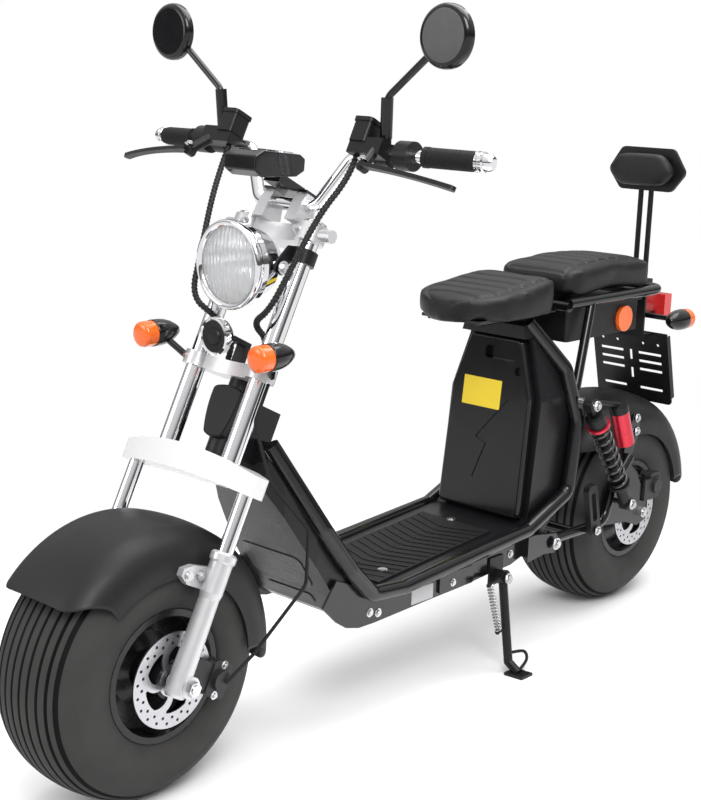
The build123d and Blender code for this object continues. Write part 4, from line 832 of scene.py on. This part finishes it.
def cushion(node, rounding=6):
    """The node's solid, drawn in and swollen again, as a padded piece with its stitching."""
    mesh = nodes[node].data.copy()
    piece = bpy.data.objects.new(node + "_cover", mesh)
    bpy.context.scene.collection.objects.link(piece)
    bpy.context.view_layer.objects.active = piece
    remesh = piece.modifiers.new("remesh", "REMESH")
    remesh.mode = "VOXEL"
    remesh.voxel_size = VOXEL
    bpy.context.view_layer.update()
    made = baked(piece)
    piece.modifiers.clear()
    piece.data = made
    low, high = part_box(node)
    middle = (Vector(low) + Vector(high)) / 2
    half = (Vector(high) - Vector(low)) / 2
    for v in made.vertices:
        v.co = middle + Vector([(c - m) * (h - INSET) / h for c, m, h in zip(v.co, middle, half)])
    swell(piece, made)
    for v, spot in zip(made.vertices, evened(made, [v.co.copy() for v in made.vertices], rounding)):
        v.co = spot
    round_off = piece.modifiers.new("round", "SUBSURF")
    round_off.levels = round_off.render_levels = 1
    bpy.context.view_layer.update()
    made = baked(piece)
    piece.modifiers.clear()
    piece.data = made
    back = UPRIGHT.inverted()
    for v in made.vertices:
        if node in STITCHING:
            x, y, z = back @ v.co * 1000
            v.co = UPRIGHT @ ((Vector((x, y, z)) + stitched(node, x, y, z)) * 0.001)
        v.co = Vector([min(max(c, a + BOX_MARGIN), b - BOX_MARGIN)
                       for c, a, b in zip(v.co, low, high)])
    for polygon in made.polygons:
        polygon.use_smooth = True
    made.materials.clear()
    made.materials.append(FINISH["vinyl"])
    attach(piece, "frame")
    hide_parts(node)


# Lamps

# Profiles as (x, radius)
LENS = [(0, 0), (0, 20.5), (1.5, 22), (5, 21.4), (8, 18.5), (9.5, 12), (10, 0)]
BULLET = [(-16, 22), (-16, 23), (-20, 23.2), (-33, 23), (-44, 21.5), (-56, 18), (-66, 13),
          (-73, 8.8), (-74.5, 6)]
BEZEL = [(-9, 72), (-6, 74.5), (2, 75), (6, 73.5), (7, 70.5), (6, 67), (3, 64), (0.5, 63),
         (0.5, 66), (-3, 71), (-9, 72)]


def headlamp_bezel():
    """The wide rolled ring round the headlamp's lens."""
    new_piece("headlamp_bezel", turned(BEZEL, 96), "steering", "chrome",
              place=at(UPRIGHT, (1167, 0, 856)))


def signal_lenses():
    """Orange domes on the ends of the four bullet signals, and their black cups."""
    for side in (-1, 1):
        for name, body, point, way in (("front", "steering", (1231, 139 * side, 727), 1),
                                       ("rear", "frame", (-120, 132 * side, 652), -1)):
            turn = Matrix.Rotation(0 if way > 0 else pi, 4, "Z")
            tag = "left" if side > 0 else "right"
            for part, mesh, finish in (("lens", turned(LENS), "orange_lens"),
                                       ("cup", turned(BULLET, 48), "gloss_black")):
                new_piece(f"{name}_signal_{part}_{tag}", mesh, body, finish,
                          place=at(UPRIGHT, point, turn))


# Floor and light

def floor_material():
    """A pale floor near the scooter that fades into the plain white background further off."""
    m = material("floor", (0.96, 0.96, 0.96), rough=0.8, relief=0.02, drift=0.01, specular=0.05)
    tree = m.node_tree
    place = tree.nodes.new("ShaderNodeTexCoord")
    reach = tree.nodes.new("ShaderNodeVectorMath")
    reach.operation = "LENGTH"
    fade = tree.nodes.new("ShaderNodeMapRange")
    for socket, value in (("From Min", 0.75), ("From Max", 1.5)):
        fade.inputs[socket].default_value = value
    glow = tree.nodes.new("ShaderNodeEmission")
    blend = tree.nodes.new("ShaderNodeMixShader")
    link = tree.links.new
    link(place.outputs["Object"], reach.inputs[0])
    link(reach.outputs["Value"], fade.inputs["Value"])
    link(fade.outputs["Result"], blend.inputs[0])
    link(tree.nodes["Principled BSDF"].outputs[0], blend.inputs[1])
    link(glow.outputs[0], blend.inputs[2])
    link(blend.outputs[0], tree.nodes["Material Output"].inputs["Surface"])
    return m


FLOOR_HALF = 30
LIGHTS = [
    # name, place, width, power; each one faces the middle of the scooter
    ("key", (2.2, 2.6, 3.2), 1.8, 110),
    ("fill", (3.4, -1.6, 2.0), 1.6, 30),
    ("top", (-0.6, 0.4, 3.6), 3.0, 120),
]


def make_floor():
    """The floor, as a piece of the stage."""
    mesh = bpy.data.meshes.new("floor")
    corners = [(FLOOR_HALF * x, FLOOR_HALF * y, 0) for x, y in ((-1, -1), (1, -1), (1, 1), (-1, 1))]
    mesh.from_pydata(corners, [], [(0, 1, 2, 3)])
    floor = bpy.data.objects.new("floor", mesh)
    mesh.materials.append(floor_material())
    bpy.context.scene.collection.objects.link(floor)


def make_world():
    """A studio that is bright above and dim below in reflections, and plain white to the camera."""
    world = bpy.data.worlds.new("studio")
    bpy.context.scene.world = world
    world.use_nodes = True
    tree = world.node_tree
    link = tree.links.new
    place = tree.nodes.new("ShaderNodeTexCoord")
    parts = tree.nodes.new("ShaderNodeSeparateXYZ")
    link(place.outputs["Generated"], parts.inputs[0])
    bands = tree.nodes.new("ShaderNodeValToRGB")
    stops = bands.color_ramp
    stops.elements[0].position, stops.elements[0].color = 0.0, (0.1, 0.1, 0.1, 1)
    stops.elements[1].position, stops.elements[1].color = 0.75, (1, 1, 1, 1)
    for spot, tone in ((0.12, 0.12), (0.3, 0.62)):
        stops.elements.new(spot).color = (tone, tone, tone, 1)
    link(parts.outputs["Z"], bands.inputs[0])
    room = tree.nodes["Background"]
    room.inputs["Strength"].default_value = 1.0
    link(bands.outputs[0], room.inputs["Color"])
    bright = tree.nodes.new("ShaderNodeBackground")
    bright.inputs["Color"].default_value = (1, 1, 1, 1)
    ray = tree.nodes.new("ShaderNodeLightPath")
    blend = tree.nodes.new("ShaderNodeMixShader")
    link(ray.outputs["Is Camera Ray"], blend.inputs[0])
    link(room.outputs[0], blend.inputs[1])
    link(bright.outputs[0], blend.inputs[2])
    link(blend.outputs[0], tree.nodes["World Output"].inputs["Surface"])


def make_lights():
    """Soft area lights."""
    for name, spot, wide, power in LIGHTS:
        data = bpy.data.lights.new(name, "AREA")
        data.size = wide
        data.energy = power
        lamp = bpy.data.objects.new(name, data)
        lamp.location = spot
        facing = Vector((0, 0, 0.5)) - Vector(spot)
        lamp.rotation_euler = facing.to_track_quat("-Z", "Y").to_euler()
        bpy.context.scene.collection.objects.link(lamp)


make_camera()
dress_nodes()
paint_nodes()
tyres()
fenders()
grips()
bolts()
mat_ribs()
slabs()
mirror_glass()
stand_spring()
shock_trim()
cushion("front_seat")
cushion("rear_seat")
cushion("backrest_pad", rounding=16)
headlamp_bezel()
signal_lenses()
wrapped_cables()
make_floor()
make_world()
make_lights()
bpy.context.scene.view_settings.view_transform = "Standard"
